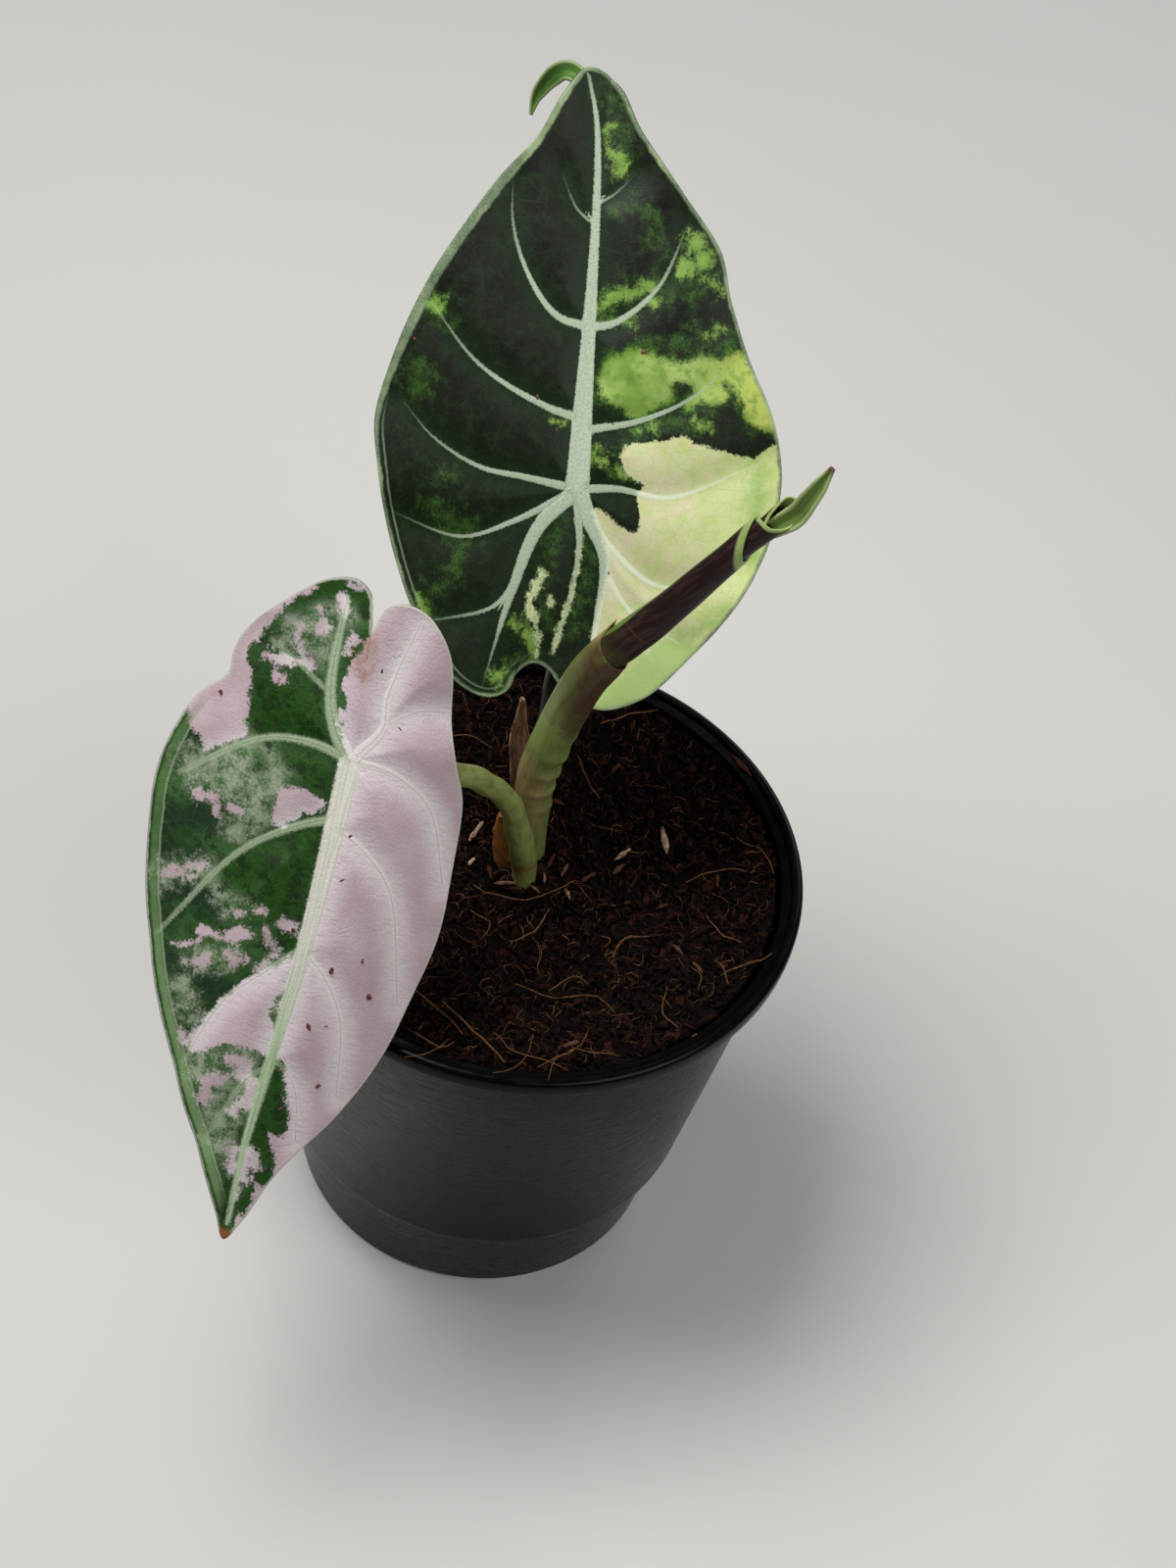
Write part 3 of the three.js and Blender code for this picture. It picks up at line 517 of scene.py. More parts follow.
VIVID_GREEN = [
    ([(-9.5, 9.9), (-5.8, 11.8), (-1.7, 11.4)], 3), ([(-8.8, 7.7), (-4.2, 7.9), (-2.8, 5.7)], 2.2),
    ([(-20.4, 12.8), (-22.4, 9.8), (-22.9, 4.5), (-21.4, 2.7)], 1.6), ([(-17.5, 3), (-14.1, 3.9)], 1),
    ([(0.9, 8.6), (2.1, 5.5), (3.5, 3.1)], 1.9), ([(3.1, 12.3), (4.1, 12)], 0.8),
    ([(4.5, 1.8), (7.5, 2.1), (9.7, 4.9)], 0.9), ([(11.8, 3.7), (14.1, 6.6), (18.5, 9), (20.5, 11.7)], 2.4),
    ([(14.5, 1.6), (18.3, 3.4), (22.5, 4.5)], 2.8), ([(23.2, 1.9), (26.9, 1.6), (28.5, 3.4)], 1.6),
    ([(46.8, -0.8), (50.6, -1.4), (56, -3.4)], 2), ([(54.6, -0.9), (58.1, -1.4), (64.2, -3.2)], 2),
    ([(66.5, 1.3), (70.9, 0.6)], 1), ([(59.1, 0.9), (63.1, 0.6)], 0.5), ([(67.3, -1.8), (70.3, -1.4)], 1),
]
PINK_HAZE = [
    ([(-15.6, 11.5), (-13.1, 10.9), (-11.3, 8.7)], 2), ([(-19.5, 9.1), (-17, 8.3), (-14, 7)], 1.4),
    ([(-21.9, 6.9), (-19.9, 5.4)], 1.4), ([(7.3, 21.2), (4.8, 17.2), (2.6, 13.8), (1.6, 10.5)], 2.4),
    ([(7.7, 16.4), (7.9, 12.8), (5.4, 9.5)], 2.4), ([(11.2, 11.9), (14.4, 12.9), (10.8, 9.6)], 1.6),
    ([(24.3, 22), (22.3, 18.8), (21.4, 15.4)], 1.3), ([(22.3, 13.7), (25, 10.9)], 1.2),
    ([(15.6, 9), (15.5, 6.3)], 0.8), ([(46.3, 10.2), (50, 9.6), (52.5, 7.6)], 1.7),
    ([(45.9, 4.1), (48, 3.6), (53, 5.2)], 2), ([(50.6, 1.5), (54.8, 2.6)], 1.8),
    ([(54.6, 5.6), (58.8, 5), (61.3, 2.9)], 1.8), ([(38, 15), (43, 12.5)], 1),
    ([(32.5, 9.8), (34, 13.5)], 1.4), ([(35.7, 0.8), (38.1, 1.5), (40.5, 0.6)], 1),
]
DEEP_GREEN = [
    ([(15.3, 23.3), (14.2, 19.5), (14.2, 15.5)], 2.2), ([(21, 22.1), (19.8, 18)], 1.5),
    ([(26.2, 21.2), (24.8, 16.7), (25.9, 13.6)], 2), ([(35.9, 17.2), (37.1, 13.5), (37.4, 8.7)], 2.2),
    ([(2.3, 23.3), (3.7, 21.1)], 1.2), ([(29, 20), (31, 18.5)], 1.4),
]
SINUS_STAIN = [([(-17, 1.2), (-13.6, 2), (-11.8, 1.2)], 1), ([(-12.8, 2.4), (-13.6, 0.7)], 0.7)]


def blade(name, leaf, regions):
    """A leaf blade: a waved sheet on spokes from the junction, with its ribs standing out below."""
    edge = smooth(leaf.outline, BLADE_SPOKES, closed=True)
    edge = np.vstack([edge, edge[:1]])

    def place(u, v):
        share = v ** 0.85
        rim = np.stack([np.interp(u, np.linspace(0, 1, len(edge)), edge[:, i]) for i in (0, 1)], -1)
        places = rim * share[:, None]
        height = leaf.height(places, share)
        (side, distance, half_width, along), midrib = leaf.vein_field(places)
        rib = np.sqrt(np.clip(1 - (distance / np.maximum(half_width, 0.3)) ** 2, 0, 1)) * half_width
        margin = line_distance(places, edge)[0]
        points = leaf.point(*places.T, height + 0.16 * rib)
        values = {
            "leaf": np.column_stack([places, along]),
            "vein": np.column_stack([side, distance, half_width]),
            "midrib": midrib.T,
            "margin": margin,
            "rib": rib,
        }
        for region, value in regions(places).items():
            values[region] = value
        return points, values

    piece = sheet(name, BLADE_SPOKES, BLADE_RINGS, place)
    close(piece, caps=False)
    thicken(piece, BLADE_SKIN, under="under")
    points = read_points(piece)
    rib = np.empty(len(points))
    piece.data.attributes["rib"].data.foreach_get("value", rib)
    under = np.array([float(bool(len(vertex.groups))) for vertex in piece.data.vertices])
    points -= np.outer(under * (0.85 * rib + 0.1 * np.sqrt(rib)), leaf.face) * MM
    write_points(piece, points)
    piece.data.attributes.remove(piece.data.attributes["rib"])
    piece.vertex_groups.clear()
    store(piece, "under", under)
    bpy.ops.object.shade_smooth()
    return piece


def back_regions(places):
    return {
        "yellow": inside_distance(places, YELLOW_PATCH),
        "cream": inside_distance(places, CREAM_PATCH),
        "streak": stroke_distance(places, PALE_STREAKS),
        "fleck": stroke_distance(places, LIME_FLECKS),
        "half_green": stroke_distance(places, HALF_GREEN),
        "green_lobe": stroke_distance(places, GREEN_LOBE),
    }


def front_regions(places):
    outlines = [PINK_HALF, PINK_LOBE] + PINK_ISLANDS
    pink = np.max([inside_distance(places, outline) for outline in outlines], axis=0)
    green = stroke_distance(places, GREEN_OVER_PINK)
    return {
        "pink": np.minimum(pink, -green),
        "fleck": stroke_distance(places, PINK_FLECKS),
        "vivid": stroke_distance(places, VIVID_GREEN),
        "haze": stroke_distance(places, PINK_HAZE),
        "deep": stroke_distance(places, DEEP_GREEN),
        "stain": stroke_distance(places, SINUS_STAIN),
    }


def leaf_patterns(m):
    """Nodes that both leaf skins share: the leaf's plane, clouds, grain, fine net, veins and torn edges."""
    spread, vein = (add(m, "Attribute", attribute_name=name) for name in ("leaf", "vein"))
    plane = add(m, "VectorMath", [(spread, 1), (1, 1, 0)], "MULTIPLY")
    place = add(m, "SeparateXYZ", {"Vector": (spread, 1)})
    cloud = add(m, "TexNoise", {"Vector": plane, "Scale": 0.11, "Detail": 3, "Roughness": 0.55})
    grain = add(m, "TexNoise", {"Vector": plane, "Scale": 0.5, "Detail": 5, "Roughness": 0.65})
    speckle = add(m, "TexNoise", {"Vector": plane, "Scale": 2.6, "Detail": 3, "Roughness": 0.65})
    warp = add(m, "MixRGB", [0.5, plane, (grain, 1)], blend_type="ADD")
    net = add(m, "TexVoronoi", {"Vector": warp, "Scale": 0.5, "Randomness": 0.9},
              feature="DISTANCE_TO_EDGE")
    fine_net = add(m, "TexVoronoi", {"Vector": warp, "Scale": 1.5}, feature="DISTANCE_TO_EDGE")
    net_line = add(m, "MapRange", [net, 0.01, 0.075, 1, 0], **SOFT)
    fine_line = add(m, "MapRange", [fine_net, 0.02, 0.14, 1, 0], **SOFT)
    dots = add(m, "MapRange", [speckle, 0.3, 0.7])
    frost = add(m, "Math", [speckle, -0.5], "ADD")
    tear = add(m, "Math", [frost, 0.5, grain], "MULTIPLY_ADD")
    tear = add(m, "Math", [tear, 0.5], "SUBTRACT")
    parts = add(m, "SeparateXYZ", {"Vector": (vein, 1)})
    side = add(m, "Math", [(parts, 0)], "ABSOLUTE")
    near = add(m, "Math", [(parts, 1), (parts, 2)], "SUBTRACT")
    rough_near = add(m, "Math", [frost, 0.95, near], "MULTIPLY_ADD")
    wide = add(m, "MapRange", [rough_near, 0.14, -0.16], **SOFT)
    slim = add(m, "Math", [side, (parts, 2)], "SUBTRACT")
    slim = add(m, "Math", [frost, 0.45, slim], "MULTIPLY_ADD")
    slim = add(m, "MapRange", [slim, 0.1, -0.08], **SOFT)
    close_by = add(m, "MapRange", [near, 0.28, 0.5, 1, 0])
    only_slim = add(m, "MapRange", [(parts, 2), 0.42, 0.5, 1, 0])
    taper = add(m, "MapRange", [(parts, 2), 0.02, 0.3])
    slim = add(m, "Math", [slim, close_by], "MULTIPLY")
    slim = add(m, "Math", [slim, only_slim], "MULTIPLY")
    vein_mask = add(m, "Math", [wide, slim], "MAXIMUM")
    vein_mask = add(m, "Math", [vein_mask, taper], "MULTIPLY")
    return SimpleNamespace(plane=plane, place=place, cloud=cloud, grain=grain, speckle=speckle, dots=dots,
                           frost=frost, tear=tear, net=net_line, fine=fine_line, vein=vein_mask,
                           near=near, side=side, close_by=close_by, half_width=(parts, 2))


def region_mask(m, name, leaf, raggedness, low=-0.3, high=0.3, amount=1.0):
    """How far a place lies in a patch, from low to high in mm, with an edge that the grain tears up."""
    region = add(m, "Attribute", attribute_name=name)
    torn = add(m, "Math", [leaf.tear, raggedness, (region, 2)], "MULTIPLY_ADD")
    return add(m, "MapRange", [torn, low, high, 0, amount], **SOFT)


def back_leaf_skin():
    """Waxy upper skin, near black-green with cream sectors; the pale veins have a frosted edge."""
    m = new_material("waxy_leaf_dark_and_cream")
    leaf = leaf_patterns(m)
    place = leaf.place
    # Near-black ground, cloudy and mottled, and greener beside the veins
    upward = add(m, "MapRange", [(place, 0), -15, 40])
    dark = add(m, "MixRGB", [upward, "#0F1A09", "#0C0E07"])
    shade = add(m, "MapRange", [leaf.cloud, 0.42, 0.62, 0, 0.85])
    by_vein = add(m, "Math", [leaf.grain, 3.5, leaf.near], "MULTIPLY_ADD")
    by_vein = add(m, "MapRange", [by_vein, 2, 5, 0.9, 0], **SOFT)
    mottle = add(m, "MapRange", [leaf.grain, 0.48, 0.64, 0, 0.6])
    net = add(m, "Math", [leaf.net, 0.04], "MULTIPLY")
    for amount, colour in ((shade, "#181C13"), (by_vein, "#0E2008"), (mottle, "#172B10"), (net, "#4A5843")):
        dark = add(m, "MixRGB", [amount, dark, colour])
    # Half-green clouds, and lime flecks in them
    half = region_mask(m, "half_green", leaf, 7, -1.4, 1.6, 0.9)
    dense = add(m, "MapRange", [leaf.grain, 0.42, 0.6, 0.35])
    half = add(m, "Math", [half, dense], "MULTIPLY")
    half_green = add(m, "MixRGB", [leaf.dots, "#20390F", "#3B5A25"])
    lime = add(m, "MixRGB", [leaf.grain, "#37601A", "#8FAE55"])
    lime_mask = region_mask(m, "fleck", leaf, 6, -1, 1, 0.95)
    lime_mask = add(m, "Math", [lime_mask, 1.6], "POWER")
    # Yellow-green patch, with green islands and a green rim
    bright = add(m, "MapRange", [leaf.cloud, 0.4, 0.62])
    yellow = add(m, "MixRGB", [bright, "#6C8C38", "#9DB463"])
    outward = add(m, "MapRange", [(place, 1), 16, 27])
    island = add(m, "MapRange", [leaf.grain, 0.5, 0.64, 0, 0.6])
    for amount, colour in ((outward, "#A6B054"), (island, "#4F7728")):
        yellow = add(m, "MixRGB", [amount, yellow, colour])
    rim_green = region_mask(m, "yellow", leaf, 5, -1.9, 0.2, 0.8)
    yellow_mask = region_mask(m, "yellow", leaf, 3.2, -0.9, 0.4)
    # Cream patch: blushed, netted, spring green on its outer side and in the lower lobe
    cream = add(m, "MixRGB", [bright, "#AFBC78", "#C9C9A2"])
    blush = add(m, "MapRange", [leaf.grain, 0.42, 0.6, 0.55, 0])
    spring = add(m, "MapRange", [(place, 1), 14, 29, 0, 0.7])
    fine_net = add(m, "Math", [leaf.fine, 0.1], "MULTIPLY")
    wide_net = add(m, "Math", [leaf.net, 0.2], "MULTIPLY")
    lobe = region_mask(m, "green_lobe", leaf, 6, -1.5, 2.5, 0.75)
    for amount, colour in ((blush, "#CCBCA2"), (spring, "#BACD7C"), (fine_net, "#94AB62"),
                           (wide_net, "#93AC60"), (lobe, "#86A653")):
        cream = add(m, "MixRGB", [amount, cream, colour])
    cream_mask = region_mask(m, "cream", leaf, 2.2, -0.15, 0.25)
    streak = add(m, "MixRGB", [leaf.dots, "#98AE6E", "#CFD2AC"])
    streak_mask = region_mask(m, "streak", leaf, 3, -0.5, 0.3, 0.9)
    # Frosted veins, duller where they are slim and richer where they cross the cream
    pale = add(m, "MixRGB", [leaf.dots, "#93A288", "#BAC6B0"])
    slim = add(m, "MapRange", [leaf.half_width, 0.1, 1.6, 0.45, 0])
    on_cream = region_mask(m, "cream", leaf, 1, -0.6, 0.6)
    rich = add(m, "MixRGB", [leaf.speckle, "#BEC7A4", "#DCE0CA"])
    for amount, colour in ((slim, "#7C8B72"), (on_cream, rich)):
        pale = add(m, "MixRGB", [amount, pale, colour])
    # Hem, wider on the upper left and lit in cloudy patches by a painted highlight, and low on the left a
    # thin line inside it
    margin = add(m, "Attribute", attribute_name="margin")
    leftward = add(m, "MapRange", [(place, 1), -4, -14])
    high = add(m, "MapRange", [(place, 0), 4, 22, 0, -0.95])
    wider = add(m, "Math", [leftward, high], "MULTIPLY")
    band = add(m, "Math", [(margin, 2), wider], "ADD")
    band = add(m, "Math", [leaf.tear, 0.9, band], "MULTIPLY_ADD")
    hem_mask = add(m, "MapRange", [band, 0.25, 0.75, 0.9, 0], **SOFT)
    hem = add(m, "MixRGB", [leaf.dots, "#4B5B40", "#7C8D70"])
    # Cloudy patches of painted highlight along the hem
    hem_highlight = add(m, "MapRange", [leaf.cloud, 0.48, 0.62, 0, 0.85])
    hem = add(m, "MixRGB", [hem_highlight, hem, "#97A97E"])
    inner_line = add(m, "Math", [(margin, 2), 1.3], "SUBTRACT")
    inner_line = add(m, "Math", [leaf.tear, 0.3, inner_line], "MULTIPLY_ADD")
    inner_line = add(m, "Math", [inner_line], "ABSOLUTE")
    inner_line = add(m, "MapRange", [inner_line, 0.05, 0.22, 1, 0])
    low = add(m, "MapRange", [(place, 0), 12, 4, 0, 0.45])
    for share in (leftward, low):
        inner_line = add(m, "Math", [inner_line, share], "MULTIPLY")
    base = dark
    for amount, colour in ((half, half_green), (lime_mask, lime), (rim_green, "#355A17"),
                           (yellow_mask, yellow), (cream_mask, cream), (streak_mask, streak),
                           (leaf.vein, pale), (hem_mask, hem), (inner_line, "#8C9C80")):
        base = add(m, "MixRGB", [amount, base, colour])
    wine = add(m, "MixRGB", [leaf.cloud, "#2E181B", "#4C2E2C"])
    wine = add(m, "MixRGB", [region_mask(m, "cream", leaf, 2, -0.6, 0.8, 0.75), wine, "#B8A083"])
    return leaf_shader(m, leaf, base, wine, "#8D8568", 0.46, 0.14)


def front_leaf_skin():
    """Waxy upper skin in dusty pink and mottled greens, with low veins and painted shade in cross wrinkles
    between them.
    """
    m = new_material("waxy_leaf_pink_and_green")
    leaf = leaf_patterns(m)
    place = leaf.place
    # Mottled green, with deep and vivid patches and a grey-pink haze
    shade = add(m, "MapRange", [leaf.cloud, 0.4, 0.6])
    green = add(m, "MixRGB", [shade, "#1C3614", "#35562B"])
    blotch = add(m, "MapRange", [leaf.grain, 0.49, 0.57, 0, 0.8])
    deep = region_mask(m, "deep", leaf, 6, -1.4, 1.4, 0.85)
    veil = add(m, "MapRange", [leaf.grain, 0.4, 0.6])
    grey = add(m, "MixRGB", [veil, "#425F36", "#86927A"])
    haze = region_mask(m, "haze", leaf, 7, -2, 1.4, 0.9)
    fleck = add(m, "MapRange", [leaf.speckle, 0.48, 0.7, 0, 0.5])
    fleck = add(m, "Math", [fleck, haze], "MULTIPLY")
    dark_spot = add(m, "MapRange", [leaf.grain, 0.49, 0.58, 0, 0.75])
    vivid = add(m, "MixRGB", [leaf.speckle, "#0E2705", "#244C10"])
    vivid = add(m, "MixRGB", [dark_spot, vivid, "#0D1F05"])
    vivid_mask = region_mask(m, "vivid", leaf, 7.5, -0.9, 0.8, 0.95)
    net = add(m, "Math", [leaf.net, 0.03], "MULTIPLY")
    for amount, colour in ((blotch, "#152C0D"), (deep, "#172B1A"), (haze, grey), (fleck, "#B9B2AA"),
                           (vivid_mask, vivid), (net, "#86A077")):
        green = add(m, "MixRGB", [amount, green, colour])
    # Dusty pink: duller away from the veins, fibrous, finely netted, and by the midrib crossed by dark
    # lines of painted crease shade
    by_vein = add(m, "Math", [leaf.grain, 1.6, leaf.near], "MULTIPLY_ADD")
    dusk = add(m, "MapRange", [by_vein, 0.9, 4.2], **SOFT)
    pink = add(m, "MixRGB", [dusk, "#CAC1C1", "#AD979C"])
    tint = add(m, "MapRange", [leaf.cloud, 0.4, 0.65, 0, 0.45])
    fibre_place = add(m, "VectorMath", [leaf.plane, (2.6, 0.5, 1)], "MULTIPLY")
    fibre = add(m, "TexNoise", {"Vector": fibre_place, "Scale": 1, "Detail": 3})
    fibre = add(m, "MapRange", [fibre, 0.5, 0.68, 0, 0.3])
    across = add(m, "Math", [(place, 1)], "ABSOLUTE")
    phase = add(m, "Math", [across, 0.18, (place, 0)], "MULTIPLY_ADD")
    phase = add(m, "Math", [leaf.grain, 2.6, phase], "MULTIPLY_ADD")
    # Cross wrinkles as thin dark lines: painted shade in creases that the blade's form does not have
    wrinkle_shade = add(m, "Math", [phase, 2 * math.pi / WRINKLE_SPACING], "MULTIPLY")
    wrinkle_shade = add(m, "Math", [wrinkle_shade], "SINE")
    wrinkle_shade = add(m, "MapRange", [wrinkle_shade, 0.72, 1])
    by_midrib = add(m, "MapRange", [across, 9.5, 4, 0, 0.42])
    patch_place = add(m, "VectorMath", [leaf.plane, (1.1, 0.3, 1)], "MULTIPLY")
    patchy = add(m, "TexNoise", {"Vector": patch_place, "Scale": 1, "Detail": 2})
    patchy = add(m, "MapRange", [patchy, 0.42, 0.56])
    for share in (by_midrib, patchy):
        wrinkle_shade = add(m, "Math", [wrinkle_shade, share], "MULTIPLY")
    pink_net = add(m, "Math", [leaf.fine, 0.12], "MULTIPLY")
    for amount, colour in ((tint, "#C6B7B9"), (fibre, "#A08C92"), (wrinkle_shade, "#84707A"),
                           (pink_net, "#8F7F86")):
        pink = add(m, "MixRGB", [amount, pink, colour])
    pink_mask = region_mask(m, "pink", leaf, 3.6, -0.25, 0.35)
    fleck_mask = region_mask(m, "fleck", leaf, 4.8, -0.5, 0.5, 0.9)
    pink_mask = add(m, "Math", [pink_mask, fleck_mask], "MAXIMUM")
    stain = region_mask(m, "stain", leaf, 4.5, -0.6, 1.2, 0.6)
    # Veins: a frosted halo with a fine dark line down its middle
    halo = add(m, "MixRGB", [leaf.dots, "#829670", "#B2BDA4"])
    halo = add(m, "MixRGB", [pink_mask, halo, "#D0C9C6"])
    halo_mask = add(m, "Math", [leaf.frost, 1.3, leaf.near], "MULTIPLY_ADD")
    halo_mask = add(m, "MapRange", [halo_mask, 0.45, -0.25, 0, 0.85], **SOFT)
    line = add(m, "MapRange", [leaf.side, 0.03, 0.12, 0.45, 0])
    line = add(m, "Math", [line, leaf.close_by], "MULTIPLY")
    line_colour = add(m, "MixRGB", [pink_mask, "#4C6343", "#8D8078"])
    # Midrib: ivory, greener towards the tip, with strands along it
    midrib, margin = (add(m, "Attribute", attribute_name=name) for name in ("midrib", "margin"))
    rib = add(m, "SeparateXYZ", {"Vector": (midrib, 1)})
    rib_near = add(m, "Math", [(rib, 1), (rib, 2)], "SUBTRACT")
    rib_near = add(m, "Math", [leaf.frost, 1.4, rib_near], "MULTIPLY_ADD")
    rib_mask = add(m, "MapRange", [rib_near, 0.25, -0.3], **SOFT)
    below = add(m, "MapRange", [(place, 0), -1, 1])
    rib_mask = add(m, "Math", [rib_mask, below], "MULTIPLY")
    strand_place = add(m, "CombineXYZ", {"X": (rib, 0), "Y": (place, 0)})
    strand_place = add(m, "VectorMath", [strand_place, (3.4, 0.1, 1)], "MULTIPLY")
    strand = add(m, "TexNoise", {"Vector": strand_place, "Scale": 1, "Detail": 3})
    strand = add(m, "MapRange", [strand, 0.3, 0.62])
    tipward = add(m, "MapRange", [(place, 0), 24, 46])
    rib_light = add(m, "MixRGB", [tipward, "#D0CDC2", "#A9BB9A"])
    rib_dark = add(m, "MixRGB", [tipward, "#B7B5A5", "#7F9B70"])
    rib_colour = add(m, "MixRGB", [strand, rib_dark, rib_light])
    # Margin: a pale edge, on the green half a green stripe with a pale seam, and the dry tip
    band = add(m, "Math", [leaf.tear, 0.5, (margin, 2)], "MULTIPLY_ADD")
    edge = add(m, "MapRange", [band, 0.15, 0.4, 0.65, 0], **SOFT)
    green_side = add(m, "MapRange", [(place, 1), 1, 3])
    past_lobe = add(m, "MapRange", [(place, 0), -4, 3])
    green_edge = add(m, "Math", [green_side, past_lobe], "MULTIPLY")
    stripe = add(m, "Math", [band, 1.25], "SUBTRACT")
    stripe = add(m, "Math", [stripe], "ABSOLUTE")
    stripe = add(m, "MapRange", [stripe, 0.8, 0.3, 0, 0.6], **SOFT)
    stripe = add(m, "Math", [stripe, green_edge], "MULTIPLY")
    lower_part = add(m, "MapRange", [(place, 0), 18, 44, 0, 0.6])
    stripe_colour = add(m, "MixRGB", [leaf.grain, "#284A1B", "#6F9058"])
    stripe_colour = add(m, "MixRGB", [lower_part, stripe_colour, "#93AC7C"])
    seam = add(m, "Math", [band, 2], "SUBTRACT")
    seam = add(m, "Math", [seam], "ABSOLUTE")
    seam = add(m, "MapRange", [seam, 0.25, 0.05, 0, 0.45])
    seam = add(m, "Math", [seam, green_edge], "MULTIPLY")
    dry = add(m, "Math", [leaf.grain, 1.5, (place, 0)], "MULTIPLY_ADD")
    dry = add(m, "MapRange", [dry, 74.4, 75.4])
    base = green
    for amount, colour in ((pink_mask, pink), (stain, "#8C6A4E"), (halo_mask, halo), (line, line_colour),
                           (rib_mask, rib_colour), (stripe, stripe_colour), (seam, "#9DAF90"),
                           (edge, "#B3B6A6"), (dry, "#7E4B2E")):
        base = add(m, "MixRGB", [amount, base, colour])
    wine = add(m, "MixRGB", [leaf.cloud, "#4A2A2E", "#6A4542"])
    wine = add(m, "MixRGB", [pink_mask, wine, "#A87F86"])
    return leaf_shader(m, leaf, base, wine, "#9A8A78", 0.48, 0.3)


def leaf_shader(m, leaf, upper, lower, under_vein, roughness, relief_strength):
    """Adds the wine-red underside, the fine relief and the satin gloss."""
    under = add(m, "Attribute", attribute_name="under")
    lower = add(m, "MixRGB", [leaf.vein, lower, under_vein])
    colour = add(m, "MixRGB", [(under, 2), upper, lower])
    relief = add(m, "Math", [leaf.net, -0.5, leaf.speckle], "MULTIPLY_ADD")
    relief = add(m, "Math", [leaf.fine, -0.3, relief], "MULTIPLY_ADD")
    bump = add(m, "Bump", {"Height": relief, "Strength": relief_strength, "Distance": 0.00012})
    gloss = add(m, "MapRange", [leaf.grain, 0.3, 0.7, roughness - 0.06, roughness + 0.08])
    shader = add(m, "BsdfPrincipled", {"Base Color": colour, "Roughness": gloss, "Normal": bump,
                                       "Specular IOR Level": 0.17})
    add(m, "OutputMaterial", {"Surface": shader})
    return m


# Centre line of the back leaf's curled tip
CURL_PATH = [
    (-12.6, 65.6, 176.6), (-14, 67.4, 177.7), (-15.5, 68.6, 177.6), (-16.9, 69.3, 176.7),
    (-18.7, 69.6, 174.2), (-19.9, 69, 171.7), (-20.2, 67.5, 169.6),
]


def curl_skin():
    """The drawn-out tip: fresh green with a paler, slightly browned hem."""
    m = new_material("fresh_green_leaf_tip")
    skin, edge = (add(m, "Attribute", attribute_name=name) for name in ("skin", "edge"))
    cloud = add(m, "TexNoise", {"Vector": (skin, 1), "Scale": 0.9, "Detail": 4})
    base = add(m, "MixRGB", [cloud, "#22460F", "#567C33"])
    hem = add(m, "MapRange", [(edge, 2), 0.12, 0.3, 0.8, 0])
    base = add(m, "MixRGB", [hem, base, "#8B9A68"])
    shader = add(m, "BsdfPrincipled", {"Base Color": base, "Roughness": 0.45, "Specular IOR Level": 0.25})
    add(m, "OutputMaterial", {"Surface": shader})
    return m


# Sap specks: place along and across the blade, and half-length
RED_SPECKS = [
    (30.5, -5.1, 0.75), (33.6, -11.2, 0.85), (39.5, -4, 0.75), (48.5, -7.6, 0.5), (39.1, -6.4, 0.35),
    (28.3, -9, 0.35), (41.2, -0.7, 0.3), (25.9, 1.7, 0.55), (53, -3.1, 0.6), (51.5, 4.1, 0.35),
    (61.9, 3.5, 0.4), (45, 10.9, 0.35), (-6.7, 4.3, 0.4), (10.6, -2.6, 0.45), (17, -3.2, 0.5),
    (-4, 20.1, 0.45), (-6.1, -5.5, 0.35), (-13.5, -1, 0.35), (40.6, 11.7, 0.35), (47.3, -1.5, 0.3),
]
DARK_LEAF_SPECKS = [
    (13.1, -7.1, 0.5), (8.9, 1.3, 0.4), (10.1, 4.5, 0.35), (21.1, 8.1, 0.55), (26.4, -18.9, 0.3),
    (-12.1, 5.8, 0.3), (41.2, -0.9, 0.35), (20.1, -26, 0.4),
]


def specks_piece(name, leaf, specks):
    """Dried sap specks on a blade: small flat slivers, pressed on."""
    bpy.ops.mesh.primitive_ico_sphere_add(subdivisions=2, radius=1)
    model = bpy.context.object
    shape = read_points(model)
    points = []
    for i, (p, q, size) in enumerate(specks):
        spread = np.array([[p, q]])
        height = leaf.height(spread, np.zeros(1))[0] + BLADE_SKIN / 2
        turn = 1.1 * math.sin(5 * i)
        slim = 0.42 + 0.2 * math.sin(3 * i)
        lump = 1 + 0.2 * np.sin(4 * shape[:, 0] + i)
        flat = np.column_stack([shape[:, 0] * size, shape[:, 1] * size * slim]) * lump[:, None]
        turned = flat @ np.array([[math.cos(turn), math.sin(turn)], [-math.sin(turn), math.cos(turn)]])
        points.append(leaf.point(p + turned[:, 0], q + turned[:, 1], height + 0.09 * shape[:, 2]))
    piece = copies(name, model.data, np.array(points), np.linspace(0, 1, len(specks)))
    bpy.data.objects.remove(model)
    activate(piece)
    bpy.ops.object.shade_smooth()
    return piece


def speck_skin():
    """Dried sap: deep maroon, slightly glossy."""
    m = new_material("dried_maroon_sap")
    place = add(m, "TexCoord")
    cloud = add(m, "TexNoise", {"Vector": (place, 3), "Scale": 2500, "Detail": 2})
    base = add(m, "MixRGB", [cloud, "#2E0F0C", "#6A2E24"])
    shader = add(m, "BsdfPrincipled", {"Base Color": base, "Roughness": 0.45})
    add(m, "OutputMaterial", {"Surface": shader})
    return m


def ribbon(name, path, facing, half_widths, fold, thickness):
    """A narrow blade folded up along its middle, such as a leaf's drawn-out tip."""
    def place(u, v):
        centre, side, up, forward = frames(path, facing, v)
        across = 2 * u - 1
        width = stop_value(half_widths, v)
        rise = fold * width * np.abs(across) ** 1.4
        points = centre + side * (across * width)[:, None] + up * rise[:, None]
        return points, {"skin": np.column_stack([across * width, v * len(path), width]), "course": v,
                        "edge": 1 - np.abs(across)}

    piece = sheet(name, 14, 90, place)
    close(piece, caps=False)
    thicken(piece, thickness)
    bpy.ops.object.shade_smooth()
    return piece


